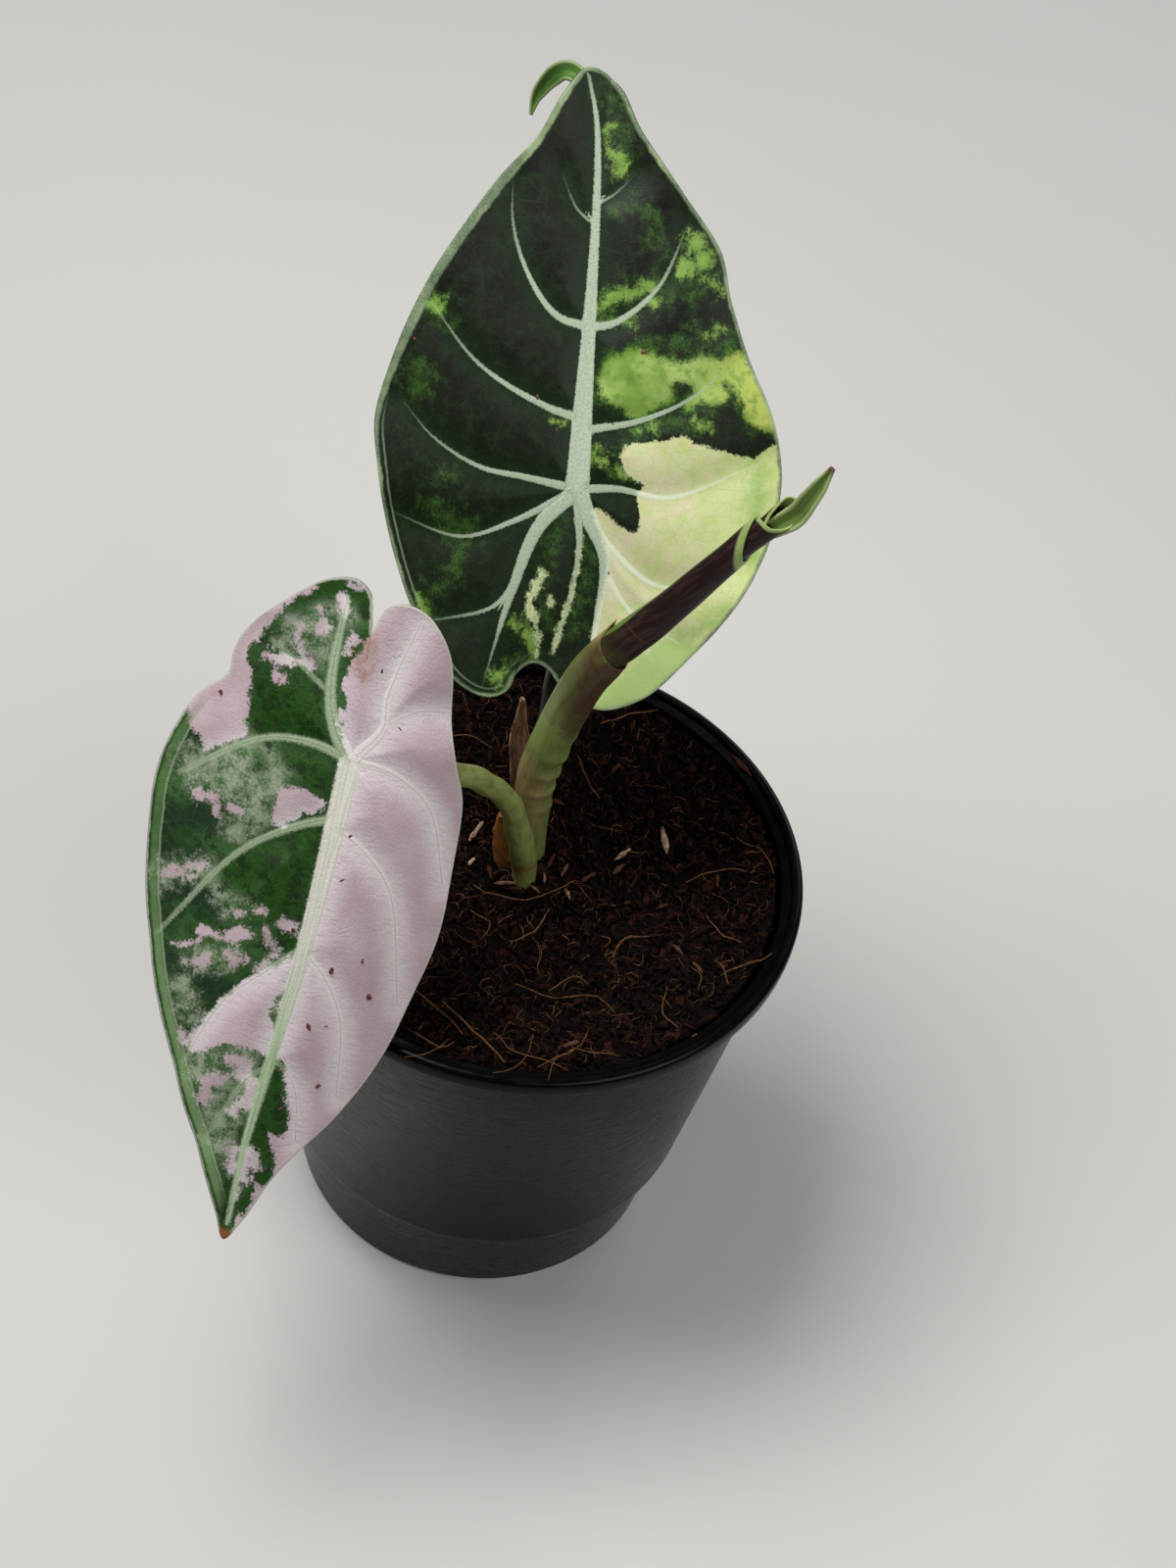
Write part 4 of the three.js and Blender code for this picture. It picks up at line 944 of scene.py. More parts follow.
def tube(name, path, radii, around, along):
    """A petiole: a round stalk with soft swellings and capped ends."""
    def place(u, share):
        centre, side, up, forward = frames(path, SIDEWAYS, share)
        angle = 2 * np.pi * u
        radius = stop_value(radii, share) + petiole_bumps(angle, share)
        points = centre + side * (radius * np.cos(angle))[:, None] + up * (radius * np.sin(angle))[:, None]
        length = np.linalg.norm(np.diff(smooth(path, 100), axis=0), axis=1).sum()
        return points, {
            "skin": np.column_stack([radius * np.cos(angle), radius * np.sin(angle), share * length]),
            "course": share,
            "turn": np.cos(angle - VISIBLE_TURN),
        }

    piece = sheet(name, around, along, place)
    close(piece)
    return piece


# Angles round a stem's path: the side in view, its right edge in view, and the sheath's flap
VISIBLE_TURN = math.radians(214)
RIGHT_TURN = math.radians(124)
FLAP_TURN = math.radians(304)

SHEATH_PATH = [
    (0.9, 2.2, 66), (0.4, 1.7, 75), (-0.3, 1.8, 82.3), (-0.7, 1.6, 89.7), (-0.9, 1.5, 96.8),
    (0.2, 1.3, 104.2), (1.7, 1.3, 112), (3.6, 1.5, 119), (5.3, 1.8, 123), (7.2, 2, 126.4),
]
SHEATH_RADII = [2.1, 2.4, 2.7, 2.9, 3, 3.1, 3.2, 3.25, 3.25]
ROLL_PATH = [
    (1.2, 1.3, 110), (3.6, 1.5, 119), (5.8, 1.9, 124.4), (8.4, 2.1, 128.3), (11.5, 2.6, 132.5),
    (16.2, 3.2, 140), (19, 3.4, 144.9), (21, 3.6, 148.3),
]
ROLL_RADII = [1.5, 2.2, 2.7, 3, 2.9, 2.6, 2.4, 2.2]
INNER_PATH = [
    (18.2, 3.3, 143.3), (21.6, 3.7, 149.3), (23.3, 3.9, 151.8), (26.2, 4.2, 155.9), (27.4, 4.3, 157.6),
]
INNER_RADII = [1.6, 1.85, 1.9, 1.85, 1.95]
# How far the inner turn of the roll reaches, from its free edge round to its core
INNER_ENDS = [12.3, 14, 16.2, 17, 16.4, 14.7, 13.2, 12.6, 11.8]
SPIKE_PATH = [
    (25.2, 4.1, 153.4), (28.1, 4.4, 156.5), (29.2, 4.5, 159.4), (30.2, 4.7, 162.3), (31.1, 5, 165.4),
]
SPIKE_WIDTHS = [1.3, 1.6, 1.45, 1.1, 0.3]
FRONT_STALK = [
    (0.2, -3.6, 66), (0, -3.9, 79.9), (-0.9, -4, 85.1), (-2.3, -4.3, 90.3), (-3.4, -4.8, 94.7),
    (-5.2, -6, 99), (-7.7, -8.5, 103.6), (-10.1, -11.5, 108.1), (-12.8, -14.6, 111.4), (-19.5, -19, 115.8),
]
FRONT_STALK_RADII = [2, 2.1, 2, 2.15, 1.9, 1.8, 1.85, 1.75, 1.7, 1.7, 1.6]
BACK_STALK = [(0, 1.6, 81), (-0.4, 5, 92), (-0.4, 11.4, 105.2)]
BACK_STALK_RADII = [1.7, 1.9, 2, 2, 1.8, 1.7, 1.6]


def stem_bumps(angle, share):
    """Low swellings where the sheath's edge runs up the right side, and soft ridges along the stem."""
    right = np.clip(np.cos(angle - math.radians(120)), 0, 1) ** 1.5
    swell = sum(size * np.exp(-((share - at) / reach) ** 2) for at, reach, size in
                ((0.4, 0.012, 0.25), (0.47, 0.015, 0.45), (0.545, 0.018, 0.5), (0.615, 0.017, 0.4),
                 (0.69, 0.02, 0.2)))
    ridges = 0.05 * np.sin(9 * angle + 2 * np.sin(14 * share))
    return right * swell + ridges


def petiole_bumps(angle, share):
    """Small uneven swellings of a soft petiole."""
    return 0.05 * np.sin(60 * share + 2 * np.cos(angle)) + 0.03 * np.sin(7 * angle + 25 * share)


def sheath_piece():
    """The sheath and the back leaf's petiole: one stem that opens round the rolled leaf."""
    rim_share = 0.93

    def place(u, v):
        outer = np.minimum(v / rim_share, 1)
        inward = np.clip((v - rim_share) / (1 - rim_share), 0, 1)
        angle = 2 * np.pi * u
        from_flap = (angle - FLAP_TURN + np.pi) % (2 * np.pi) - np.pi
        reach = outer - 0.12 * np.clip(inward * 2 - 1, 0, 1)
        rise = (-0.4 + 0.6 * np.cos(from_flap)) * reach ** 6 \
            + 3.1 * np.exp(-(from_flap / math.radians(20)) ** 2) * reach ** 24
        back_down = 0.09 * np.clip(inward * 2 - 0.6, 0, 1.4)
        centre, side, up, forward = frames(SHEATH_PATH, SIDEWAYS, outer - back_down)
        radius = stop_value(SHEATH_RADII, outer) + stem_bumps(angle, outer) * (1 - inward)
        radius = radius - 0.38 * ease(0, 0.4, inward) - 0.25 * ease(0.96, 1, outer) * (1 - inward)
        radius = radius + 0.5 * np.exp(-(from_flap / math.radians(20)) ** 2) * reach ** 40
        across, lift = np.cos(angle), np.sin(angle)
        points = centre + side * (radius * across)[:, None] + up * (radius * lift)[:, None] \
            + forward * rise[:, None]
        return points, {
            "skin": np.column_stack([radius * across, radius * lift, 65 * outer]),
            "course": outer, "turn": np.cos(angle - VISIBLE_TURN), "across": np.cos(angle - RIGHT_TURN),
            "dry": np.exp(-(from_flap / math.radians(26)) ** 2) * ease(0.955, 0.99, outer),
        }

    piece = sheet("sheath", 72, 300, place)
    close(piece)
    stalk_path = BACK_STALK + [tuple(back_leaf.point(*at)) for at in
                               ((-20, 0.3, -4.9), (-8, 0, -4.9), (-2, 0, -4), (0, 0, -2.3))]
    petiole = tube("petiole", stalk_path, BACK_STALK_RADII, 36, 160)
    store(petiole, "stalk", np.full(len(petiole.data.vertices), 1.0))
    activate(piece)
    petiole.select_set(True)
    bpy.ops.object.join()
    piece.name = piece.data.name = "back_stem"
    return piece


def mark_inside(piece):
    """Stores which skin of a scroll faces its middle."""
    count = len(piece.data.vertices)
    middle = np.empty(3 * count)
    radius = np.empty(count)
    piece.data.attributes["middle"].data.foreach_get("vector", middle)
    piece.data.attributes["radius"].data.foreach_get("value", radius)
    away = np.linalg.norm(read_points(piece) / MM - middle.reshape(-1, 3), axis=1)
    store(piece, "inside", (away < radius).astype(float))
    for name in ("middle", "radius"):
        piece.data.attributes.remove(piece.data.attributes[name])


def roll_piece():
    """The new leaf: a scroll whose outer turn ends in a slanting pale margin, and an inner turn."""
    def outer_place(u, v):
        angle = math.radians(130) - 2 * np.pi * 1.3 * (1 - u) - 1.4 * v
        share = v * (1 + (3.2 + 2.95 * np.cos(angle - FLAP_TURN)) / ROLL_RUN)
        centre, side, up, forward = frames(ROLL_PATH, SIDEWAYS, np.clip(share, 0, 1))
        middle = centre + forward * (np.clip(share - 1, 0, 1) * ROLL_RUN)[:, None]
        radius = stop_value(ROLL_RADII, share) * (1 - 0.12 * (1 - u)) - 0.15
        radius = radius + 0.05 * np.sin(26 * v + 3 * u) * u
        across, lift = np.cos(angle), np.sin(angle)
        points = middle + side * (radius * across)[:, None] + up * (radius * lift)[:, None]
        arc = share * ROLL_RUN
        from_flap = (angle - FLAP_TURN + np.pi) % (2 * np.pi) - np.pi
        lens = 1.1 * np.exp(-((arc - 21.5) / 4.5) ** 2) - 0.15 - np.abs(from_flap + 0.35) * radius
        seen = (from_flap < 0.2) & (from_flap > -2.6)
        scars = np.minimum(np.abs(arc - 22.3 + 0.5 * from_flap), np.abs(arc - 17.1 + 0.3 * from_flap))
        return points, {
            "skin": np.column_stack([angle * radius, np.zeros(len(u)), arc]), "rim": (1 - v) * ROLL_RUN,
            "band": np.full(len(u), 1.7), "middle": middle, "radius": radius,
            "lens": lens, "scar": np.where(seen, scars, 9.0),
        }

    def inner_place(u, v):
        angle = FLAP_TURN - math.radians(450) * (1 - u)
        share = v * stop_value(INNER_ENDS, u) / INNER_RUN
        centre, side, up, forward = frames(INNER_PATH, SIDEWAYS, np.clip(share, 0, 1))
        radius = stop_value(INNER_RADII, share) * (1 - 0.3 * (1 - u)) - 0.12
        radius = radius + (0.15 + 1.2 * np.exp(-((u - 0.34) / 0.11) ** 2)) * ease(0.5, 1, v)
        across, lift = np.cos(angle), np.sin(angle)
        points = centre + side * (radius * across)[:, None] + up * (radius * lift)[:, None]
        return points, {
            "skin": np.column_stack([angle * radius, np.zeros(len(u)), share * INNER_RUN]),
            "rim": (1 - v) * INNER_RUN, "band": np.full(len(u), 0.75), "middle": centre, "radius": radius,
            "lens": np.full(len(u), -9.0), "scar": np.full(len(u), 9.0),
        }

    outer = sheet("outer_turn", 130, 230, outer_place)
    inner = sheet("inner_turn", 120, 100, inner_place)
    for piece in (outer, inner):
        close(piece, caps=False)
        thicken(piece, THIN_SKIN)
        mark_inside(piece)
    spike = ribbon("spike", SPIKE_PATH, (-0.5, -0.8, 0.3), SPIKE_WIDTHS, 0.5, 0.45)
    store(spike, "spike", np.ones(len(spike.data.vertices)))
    activate(outer)
    inner.select_set(True)
    spike.select_set(True)
    bpy.ops.object.join()
    outer.name = outer.data.name = "rolled_leaf"
    bpy.ops.object.shade_smooth()
    return outer


def roll_skin():
    """The underside of a young blade: near-black maroon with fine paler veins and a light green hem."""
    m = new_material("young_leaf_maroon_back")
    stored = ("skin", "scar", "lens", "band", "rim", "inside", "spike", "course", "edge")
    skin, scar, lens, band, rim, inside, spike, course, edge = (
        add(m, "Attribute", attribute_name=name) for name in stored)
    oblique = add(m, "Mapping", {"Vector": (skin, 1), "Rotation": (0, 0.5, 0), "Scale": (1.6, 1, 0.16)})
    vein = add(m, "TexNoise", {"Vector": oblique, "Scale": 1, "Detail": 3, "Roughness": 0.6,
                               "Distortion": 0.3})
    cloud = add(m, "TexNoise", {"Vector": (skin, 1), "Scale": 0.35, "Detail": 4})
    speckle = add(m, "TexNoise", {"Vector": (skin, 1), "Scale": 2.6, "Detail": 3})
    # Dark underside with paler veins, bracing scars, a green lens-shaped window and an olive mouth
    streak = add(m, "MapRange", [vein, 0.5, 0.66, 0, 0.6])
    scar_mask = add(m, "Math", [speckle, 0.3, (scar, 2)], "MULTIPLY_ADD")
    scar_mask = add(m, "MapRange", [scar_mask, 0.14, 0.34, 0.65, 0])
    lens_mask = add(m, "Math", [speckle, 0.6, (lens, 2)], "MULTIPLY_ADD")
    lens_mask = add(m, "MapRange", [lens_mask, -0.1, 0.3, 0, 0.9])
    arc = add(m, "SeparateXYZ", {"Vector": (skin, 1)})
    mouth = add(m, "Math", [cloud, 14, (arc, 2)], "MULTIPLY_ADD")
    mouth = add(m, "MapRange", [mouth, 29.5, 22, 0, 0.8], **SOFT)
    outer_turn = add(m, "MapRange", [(band, 2), 1, 1.5])
    mouth = add(m, "Math", [mouth, outer_turn], "MULTIPLY")
    # Light green hem along the rim, and the shaded inside
    hem = add(m, "MixRGB", [cloud, "#6F8640", "#A0B070"])
    wide = add(m, "Math", [(band, 2), 1.3], "MULTIPLY")
    narrow = add(m, "Math", [(band, 2), 0.75], "MULTIPLY")
    torn = add(m, "Math", [speckle, -0.5, (rim, 2)], "MULTIPLY_ADD")
    torn = add(m, "Math", [torn, 0.25], "ADD")
    hem_mask = add(m, "MapRange", [torn, narrow, wide, 1, 0], **SOFT)
    near_rim = add(m, "MapRange", [(rim, 2), 2.4, 1.2, 0, 0.9])
    near_rim = add(m, "Math", [near_rim, (inside, 2)], "MULTIPLY")
    inner_mask = add(m, "MapRange", [(rim, 2), 1.4, 3.4])
    inner_mask = add(m, "Math", [inner_mask, (inside, 2)], "MULTIPLY")
    core = add(m, "MixRGB", [cloud, "#23160F", "#4A3A26"])
    base = add(m, "MixRGB", [cloud, "#0E0605", "#251411"])
    for amount, colour in ((streak, "#3E2923"), (scar_mask, "#6A3C2E"), (lens_mask, "#5D7433"),
                           (mouth, "#3C3B1A"), (hem_mask, hem), (near_rim, hem), (inner_mask, core)):
        base = add(m, "MixRGB", [amount, base, colour])
    # The drawn-out tip: fresh green with a pale edge, dry at its point
    stretch = add(m, "Mapping", {"Vector": (skin, 1), "Scale": (2.2, 1, 0.25)})
    fresh = add(m, "TexNoise", {"Vector": stretch, "Scale": 1, "Detail": 3})
    fresh = add(m, "MixRGB", [fresh, "#364A12", "#6A8440"])
    pale = add(m, "MapRange", [(edge, 2), 0.14, 0.34, 0.8, 0])
    dry = add(m, "MapRange", [(course, 2), 0.9, 1])
    for amount, colour in ((pale, "#9CAA72"), (dry, "#5B3A22")):
        fresh = add(m, "MixRGB", [amount, fresh, colour])
    base = add(m, "MixRGB", [(spike, 2), base, fresh])
    bump = add(m, "Bump", {"Height": vein, "Strength": 0.4, "Distance": 0.00015})
    shader = add(m, "BsdfPrincipled", {"Base Color": base, "Roughness": 0.42, "Normal": bump,
                                       "Specular IOR Level": 0.22})
    add(m, "OutputMaterial", {"Surface": shader})
    return m


def stem_skin():
    """Moist, slightly clear green skin, tan halfway up its face, maroon on the right near the mouth."""
    m = new_material("moist_green_stem")
    stored = ("skin", "course", "turn", "across", "stalk", "dry")
    skin, course, turn, across, stalk, dry = (add(m, "Attribute", attribute_name=name) for name in stored)
    stretch = add(m, "Mapping", {"Vector": (skin, 1), "Scale": (1, 1, 0.12)})
    streak = add(m, "TexNoise", {"Vector": stretch, "Scale": 2.2, "Detail": 4, "Roughness": 0.6})
    cloud = add(m, "TexNoise", {"Vector": (skin, 1), "Scale": 0.28, "Detail": 4})
    fine = add(m, "TexNoise", {"Vector": (skin, 1), "Scale": 1.5, "Detail": 3})
    tan = add(m, "MixRGB", [streak, "#675A38", "#9C8A5E"])
    green = add(m, "MixRGB", [streak, "#4A562A", "#7C8850"])
    wander = add(m, "Math", [cloud, 0.2, (course, 2)], "MULTIPLY_ADD")
    middle = add(m, "MapRange", [wander, 0.74, 0.6], **SOFT)
    low = add(m, "MapRange", [wander, 0.36, 0.46], **SOFT)
    facing = add(m, "MapRange", [(turn, 2), 0, 0.7], **SOFT)
    tan_mask = add(m, "Math", [middle, low], "MULTIPLY")
    tan_mask = add(m, "Math", [tan_mask, facing], "MULTIPLY")
    base = add(m, "MixRGB", [tan_mask, green, tan])
    patch = add(m, "Math", [wander, 0.77, 0.05], "COMPARE")
    patch = add(m, "Math", [patch, 0.4], "MULTIPLY")
    top = add(m, "MapRange", [wander, 0.84, 1.02, 0, 0.8], **SOFT)
    wine = add(m, "Math", [(course, 2), 6, (across, 2)], "MULTIPLY_ADD")
    wine = add(m, "Math", [cloud, 1.6, wine], "MULTIPLY_ADD")
    wine = add(m, "MapRange", [wine, 5.25, 6.6, 0, 0.92], **SOFT)
    maroon = add(m, "MixRGB", [streak, "#24120C", "#4C341E"])
    haze = add(m, "MapRange", [cloud, 0.5, 0.62, 0, 0.45])
    dots = add(m, "MapRange", [fine, 0.66, 0.7, 0, 0.7])
    husk = add(m, "MixRGB", [streak, "#9A5A34", "#D8C3A0"])
    for amount, colour in ((patch, "#7D9144"), (top, "#5E5B37"), (wine, maroon), (haze, "#566430"),
                           (dots, "#6B3423"), ((stalk, 2), "#202A15"), ((dry, 2), husk)):
        base = add(m, "MixRGB", [amount, base, colour])
    return stem_gloss(m, base, streak)


def petiole_skin():
    """Fresh petiole: yellow-green over dull olive, streaked lengthwise, with a brown ring low down."""
    m = new_material("fresh_green_petiole")
    skin, course = (add(m, "Attribute", attribute_name=name) for name in ("skin", "course"))
    stretch = add(m, "Mapping", {"Vector": (skin, 1), "Scale": (1, 1, 0.12)})
    streak = add(m, "TexNoise", {"Vector": stretch, "Scale": 2.4, "Detail": 4, "Roughness": 0.6})
    cloud = add(m, "TexNoise", {"Vector": (skin, 1), "Scale": 0.4, "Detail": 4})
    base = add(m, "MixRGB", [streak, "#5A6430", "#949C5A"])
    blotch = add(m, "MapRange", [cloud, 0.48, 0.62, 0, 0.5])
    wander = add(m, "Math", [cloud, 0.08, (course, 2)], "MULTIPLY_ADD")
    low = add(m, "MapRange", [wander, 0.4, 0.2, 0, 0.8], **SOFT)
    ring = add(m, "Math", [wander, 0.27], "SUBTRACT")
    ring = add(m, "Math", [ring], "ABSOLUTE")
    ring = add(m, "MapRange", [ring, 0.004, 0.012, 0.7, 0])
    for amount, colour in ((blotch, "#565A30"), (low, "#666637"), (ring, "#6A4B2C")):
        base = add(m, "MixRGB", [amount, base, colour])
    return stem_gloss(m, base, streak)


def stem_gloss(m, base, streak):
    """The stems' shared soft gloss and slight depth."""
    bump = add(m, "Bump", {"Height": streak, "Strength": 0.3, "Distance": 0.00012})
    shader = add(m, "BsdfPrincipled", {"Base Color": base, "Roughness": 0.36, "Normal": bump,
                                       "Subsurface Weight": 0.1, "Subsurface Radius": (0.6, 1, 0.3),
                                       "Subsurface Scale": 0.002, "Specular IOR Level": 0.25})
    add(m, "OutputMaterial", {"Surface": shader})
    return m


def slip(name, path, facing, widths):
    """A dry scale leaf: a curved slip of papery skin with torn edges."""
    def place(u, v):
        centre, side, up, forward = frames(path, facing, v)
        across = 2 * u - 1
        width = stop_value(widths, v) + 0.08 * np.sin(31 * v + 4 * across)
        hollow = -0.6 * (1 - across ** 2) + 0.35 + 0.05 * np.sin(40 * v) * across
        points = centre + side * (across * width)[:, None] + up * hollow[:, None]
        return points, {"skin": np.column_stack([across * width, hollow, v * 30]), "course": v}

    piece = sheet(name, 24, 90, place)
    close(piece, caps=False)
    thicken(piece, THIN_SKIN)
    bpy.ops.object.shade_smooth()
    return piece


def paper_skin(name, dark, light):
    """Dry papery sheath: thin, streaked lengthwise, dull."""
    m = new_material(name)
    skin = add(m, "Attribute", attribute_name="skin")
    stretch = add(m, "Mapping", {"Vector": (skin, 1), "Scale": (1, 1, 0.1)})
    streak = add(m, "TexNoise", {"Vector": stretch, "Scale": 3, "Detail": 4, "Roughness": 0.65})
    sharp = add(m, "MapRange", [streak, 0.35, 0.65])
    base = add(m, "MixRGB", [sharp, dark, light])
    bump = add(m, "Bump", {"Height": streak, "Strength": 0.6, "Distance": 0.0002})
    shader = add(m, "BsdfPrincipled", {"Base Color": base, "Roughness": 0.7, "Normal": bump})
    add(m, "OutputMaterial", {"Surface": shader})
    return m


# Pot

def pot_inner_radius(z):
    rise = (z - STEP_HEIGHT) / (POT_HEIGHT - STEP_HEIGHT)
    return (STEP_RADIUS - WALL) + rise * (RIM_RADIUS - LIP_WIDTH - WALL - STEP_RADIUS + WALL)


def pot_piece():
    """The moulded pot, spun from its profile, with the drain holes cut through its floor."""
    lip_under = POT_HEIGHT - LIP_DEPTH
    wall_radius = pot_inner_radius(lip_under) + WALL
    profile = [
        (0, 0), (FOOT_RADIUS - 1, 0), (FOOT_RADIUS - 0.3, 0.25), (FOOT_RADIUS, 0.8),
        (FOOT_TOP_RADIUS, STEP_HEIGHT - 2.5), (FOOT_TOP_RADIUS + 0.3, STEP_HEIGHT - 1.9),
        (STEP_RADIUS - 0.4, STEP_HEIGHT - 1.3), (STEP_RADIUS - 0.1, STEP_HEIGHT - 0.7),
        (STEP_RADIUS, STEP_HEIGHT), (wall_radius, lip_under - 0.3), (wall_radius + 0.2, lip_under),
        (RIM_RADIUS - 0.35, lip_under + 0.25), (RIM_RADIUS - 0.06, lip_under + 0.7),
        (RIM_RADIUS, lip_under + 1.3),
    ]
    bead = [(RIM_RADIUS - 1 + math.cos(a), POT_HEIGHT - 0.9 + 0.9 * math.sin(a))
            for a in np.linspace(0, math.pi, 9)]
    profile += bead + [
        (pot_inner_radius(POT_HEIGHT - 1.4), POT_HEIGHT - 1.4),
        (STEP_RADIUS - WALL, STEP_HEIGHT + 0.4), (FOOT_TOP_RADIUS - WALL, STEP_HEIGHT - 2.2),
        (FOOT_RADIUS - WALL, FLOOR_THICKNESS + 0.4), (FOOT_RADIUS - WALL - 0.4, FLOOR_THICKNESS),
        (0, FLOOR_THICKNESS),
    ]
    sides = 160

    def place(u, v):
        stops = np.linspace(0, 1, len(profile))
        radius, z = (np.interp(v, stops, [corner[i] for corner in profile]) for i in (0, 1))
        angle = 2 * np.pi * u
        return np.column_stack([radius * np.cos(angle), radius * np.sin(angle), z]), {}

    piece = sheet("nursery_pot", sides, len(profile) - 1, place)
    close(piece, caps=False)
    for i in range(DRAIN_HOLES):
        angle = 2 * math.pi * (i + 0.5) / DRAIN_HOLES
        where = Vector((math.cos(angle), math.sin(angle), 0)) * DRAIN_CIRCLE * MM
        bpy.ops.mesh.primitive_cylinder_add(vertices=24, radius=DRAIN_RADIUS * MM, depth=8 * MM,
                                            location=where)
        drill = bpy.context.object
        apply_modifier(piece, "BOOLEAN", operation="DIFFERENCE", object=drill, solver="EXACT")
        bpy.data.objects.remove(drill)
    activate(piece)
    bpy.ops.object.shade_smooth_by_angle(angle=math.radians(40))
    return piece


def pot_plastic():
    """Injection-moulded black polypropylene: glossy, with faint mould ripple, dust and hairline scuffs."""
    m = new_material("black_moulded_polypropylene")
    place = add(m, "TexCoord")
    cloud = add(m, "TexNoise", {"Vector": (place, 3), "Scale": 90, "Detail": 4})
    dust = add(m, "TexNoise", {"Vector": (place, 3), "Scale": 900, "Detail": 4, "Roughness": 0.7})
    scuff_place = add(m, "Mapping", {"Vector": (place, 3), "Scale": (300, 300, 2600)})
    scuff = add(m, "TexNoise", {"Vector": scuff_place, "Scale": 1, "Detail": 3})
    base = add(m, "MixRGB", [cloud, "#020203", "#050506"])
    speck = add(m, "MapRange", [dust, 0.66, 0.8, 0, 0.15])
    gloss = add(m, "MapRange", [scuff, 0.35, 0.75, 0.2, 0.36])
    bump = add(m, "Bump", {"Height": cloud, "Strength": 0.15, "Distance": 0.0003})
    base = add(m, "MixRGB", [speck, base, "#3A2E26"])
    shader = add(m, "BsdfPrincipled", {"Base Color": base, "Roughness": gloss, "Normal": bump, "IOR": 1.49,
                                       "Specular IOR Level": 0.08})
    add(m, "OutputMaterial", {"Surface": shader})
    return m


# Soil

def soil_height(x, y):
    """The soil's lumpy top, heaped against the wall at the back right."""
    swell = 0.5 * np.sin(0.19 * x + 1) * np.cos(0.16 * y - 0.6)
    lumps = 0.45 * np.sin(0.83 * x + 2 * np.sin(0.41 * y)) * np.sin(0.91 * y + 0.2 * x)
    out = np.hypot(x, y) / (RIM_RADIUS - LIP_WIDTH)
    backward = 0.5 + 0.5 * np.cos(np.arctan2(y, x) - math.radians(25))
    foot = 2.6 * np.exp(-((x - 0.5) ** 2 + (y + 2.5) ** 2) / 36)
    return SOIL_TOP + swell + lumps + foot + out ** 4 * (2.1 * backward + 0.9)


def soil_piece():
    """The filled plug of soil, with a crumbled top."""
    bottom = FLOOR_THICKNESS + 0.35
    sides = [
        (0, bottom), (FOOT_RADIUS - WALL - SOIL_GAP, bottom),
        (FOOT_TOP_RADIUS - WALL - SOIL_GAP, STEP_HEIGHT - 2),
        (STEP_RADIUS - WALL - SOIL_GAP, STEP_HEIGHT + 1),
    ]
    top_radius = pot_inner_radius(SOIL_TOP - 1.5) - SOIL_GAP
    split = 0.08

    def place(u, v):
        angle = 2 * np.pi * u
        stops = np.linspace(0, split, len(sides) + 1)
        radius = np.interp(v, stops, [r for r, z in sides] + [top_radius])
        z = np.interp(v, stops, [z for r, z in sides] + [SOIL_TOP - 1.5])
        inward = np.clip((v - split) / (1 - split), 0, 1)
        radius = np.where(v > split, top_radius * (1 - inward), radius)
        x, y = radius * np.cos(angle), radius * np.sin(angle)
        crumble = 0.35 * np.sin(2.9 * x + 1.3 * np.sin(2.1 * y)) * np.sin(3.1 * y + 1.1 * np.sin(1.7 * x))
        top = soil_height(x, y) + crumble * ease(0, 0.08, inward) - 0.4
        return np.column_stack([x, y, np.where(v > split, top, z)]), {}

    piece = sheet("soil_fill", 200, 130, place)
    close(piece, caps=False)
    return piece


def tumble(random, count):
    """Random turns, as matrices."""
    a = random.normal(size=(count, 4))
    w, x, y, z = (a / np.linalg.norm(a, axis=1, keepdims=True)).T
    return np.stack([
        np.stack([1 - 2 * (y * y + z * z), 2 * (x * y - z * w), 2 * (x * z + y * w)], -1),
        np.stack([2 * (x * y + z * w), 1 - 2 * (x * x + z * z), 2 * (y * z - x * w)], -1),
        np.stack([2 * (x * z - y * w), 2 * (y * z + x * w), 1 - 2 * (x * x + y * y)], -1),
    ], 1)


def copies(name, model, points, shades):
    """Many small copies of one mesh in one piece. points is count x corners x 3, in millimetres."""
    count, corners = points.shape[:2]
    faces = np.array([polygon.vertices[:] for polygon in model.polygons])
    faces = (faces[None] + corners * np.arange(count)[:, None, None]).reshape(-1, faces.shape[1])
    mesh = bpy.data.meshes.new(name)
    mesh.from_pydata((points.reshape(-1, 3) * MM).tolist(), [], faces.tolist())
    piece = bpy.data.objects.new(name, mesh)
    bpy.context.collection.objects.link(piece)
    store(piece, "shade", np.repeat(shades, corners))
    return piece


def crumbs_piece(random):
    """Coir crumbs and bark chips on the soil, each one a knocked-about lump."""
    bpy.ops.mesh.primitive_ico_sphere_add(subdivisions=1, radius=1)
    lump = bpy.context.object
    shape = read_points(lump)
    count = CRUMB_COUNT
    coarse = random.random(count) < 0.3
    size = np.where(coarse, random.uniform(0.5, 0.95, count), random.uniform(0.18, 0.5, count))
    stretch = np.stack([random.uniform(0.8, 2, count), random.uniform(0.5, 1.1, count),
                        random.uniform(0.3, 0.8, count)], -1)
    distance = (pot_inner_radius(SOIL_TOP) - 0.2 - size) * np.sqrt(random.random(count))
    angle = random.uniform(0, 2 * np.pi, count)
    x, y = distance * np.cos(angle), distance * np.sin(angle)
    dents = random.uniform(0.6, 1.3, (count, len(shape), 1))
    knocked = shape[None] * dents * stretch[:, None] * size[:, None, None]
    turned = np.einsum("nij,nkj->nki", tumble(random, count), knocked)
    z = soil_height(x, y) + random.uniform(-0.55, 0.35, count)
    points = turned + np.stack([x, y, z], -1)[:, None]
    piece = copies("coir_crumbs", lump.data, points, random.random(count))
    bpy.data.objects.remove(lump)
    return piece


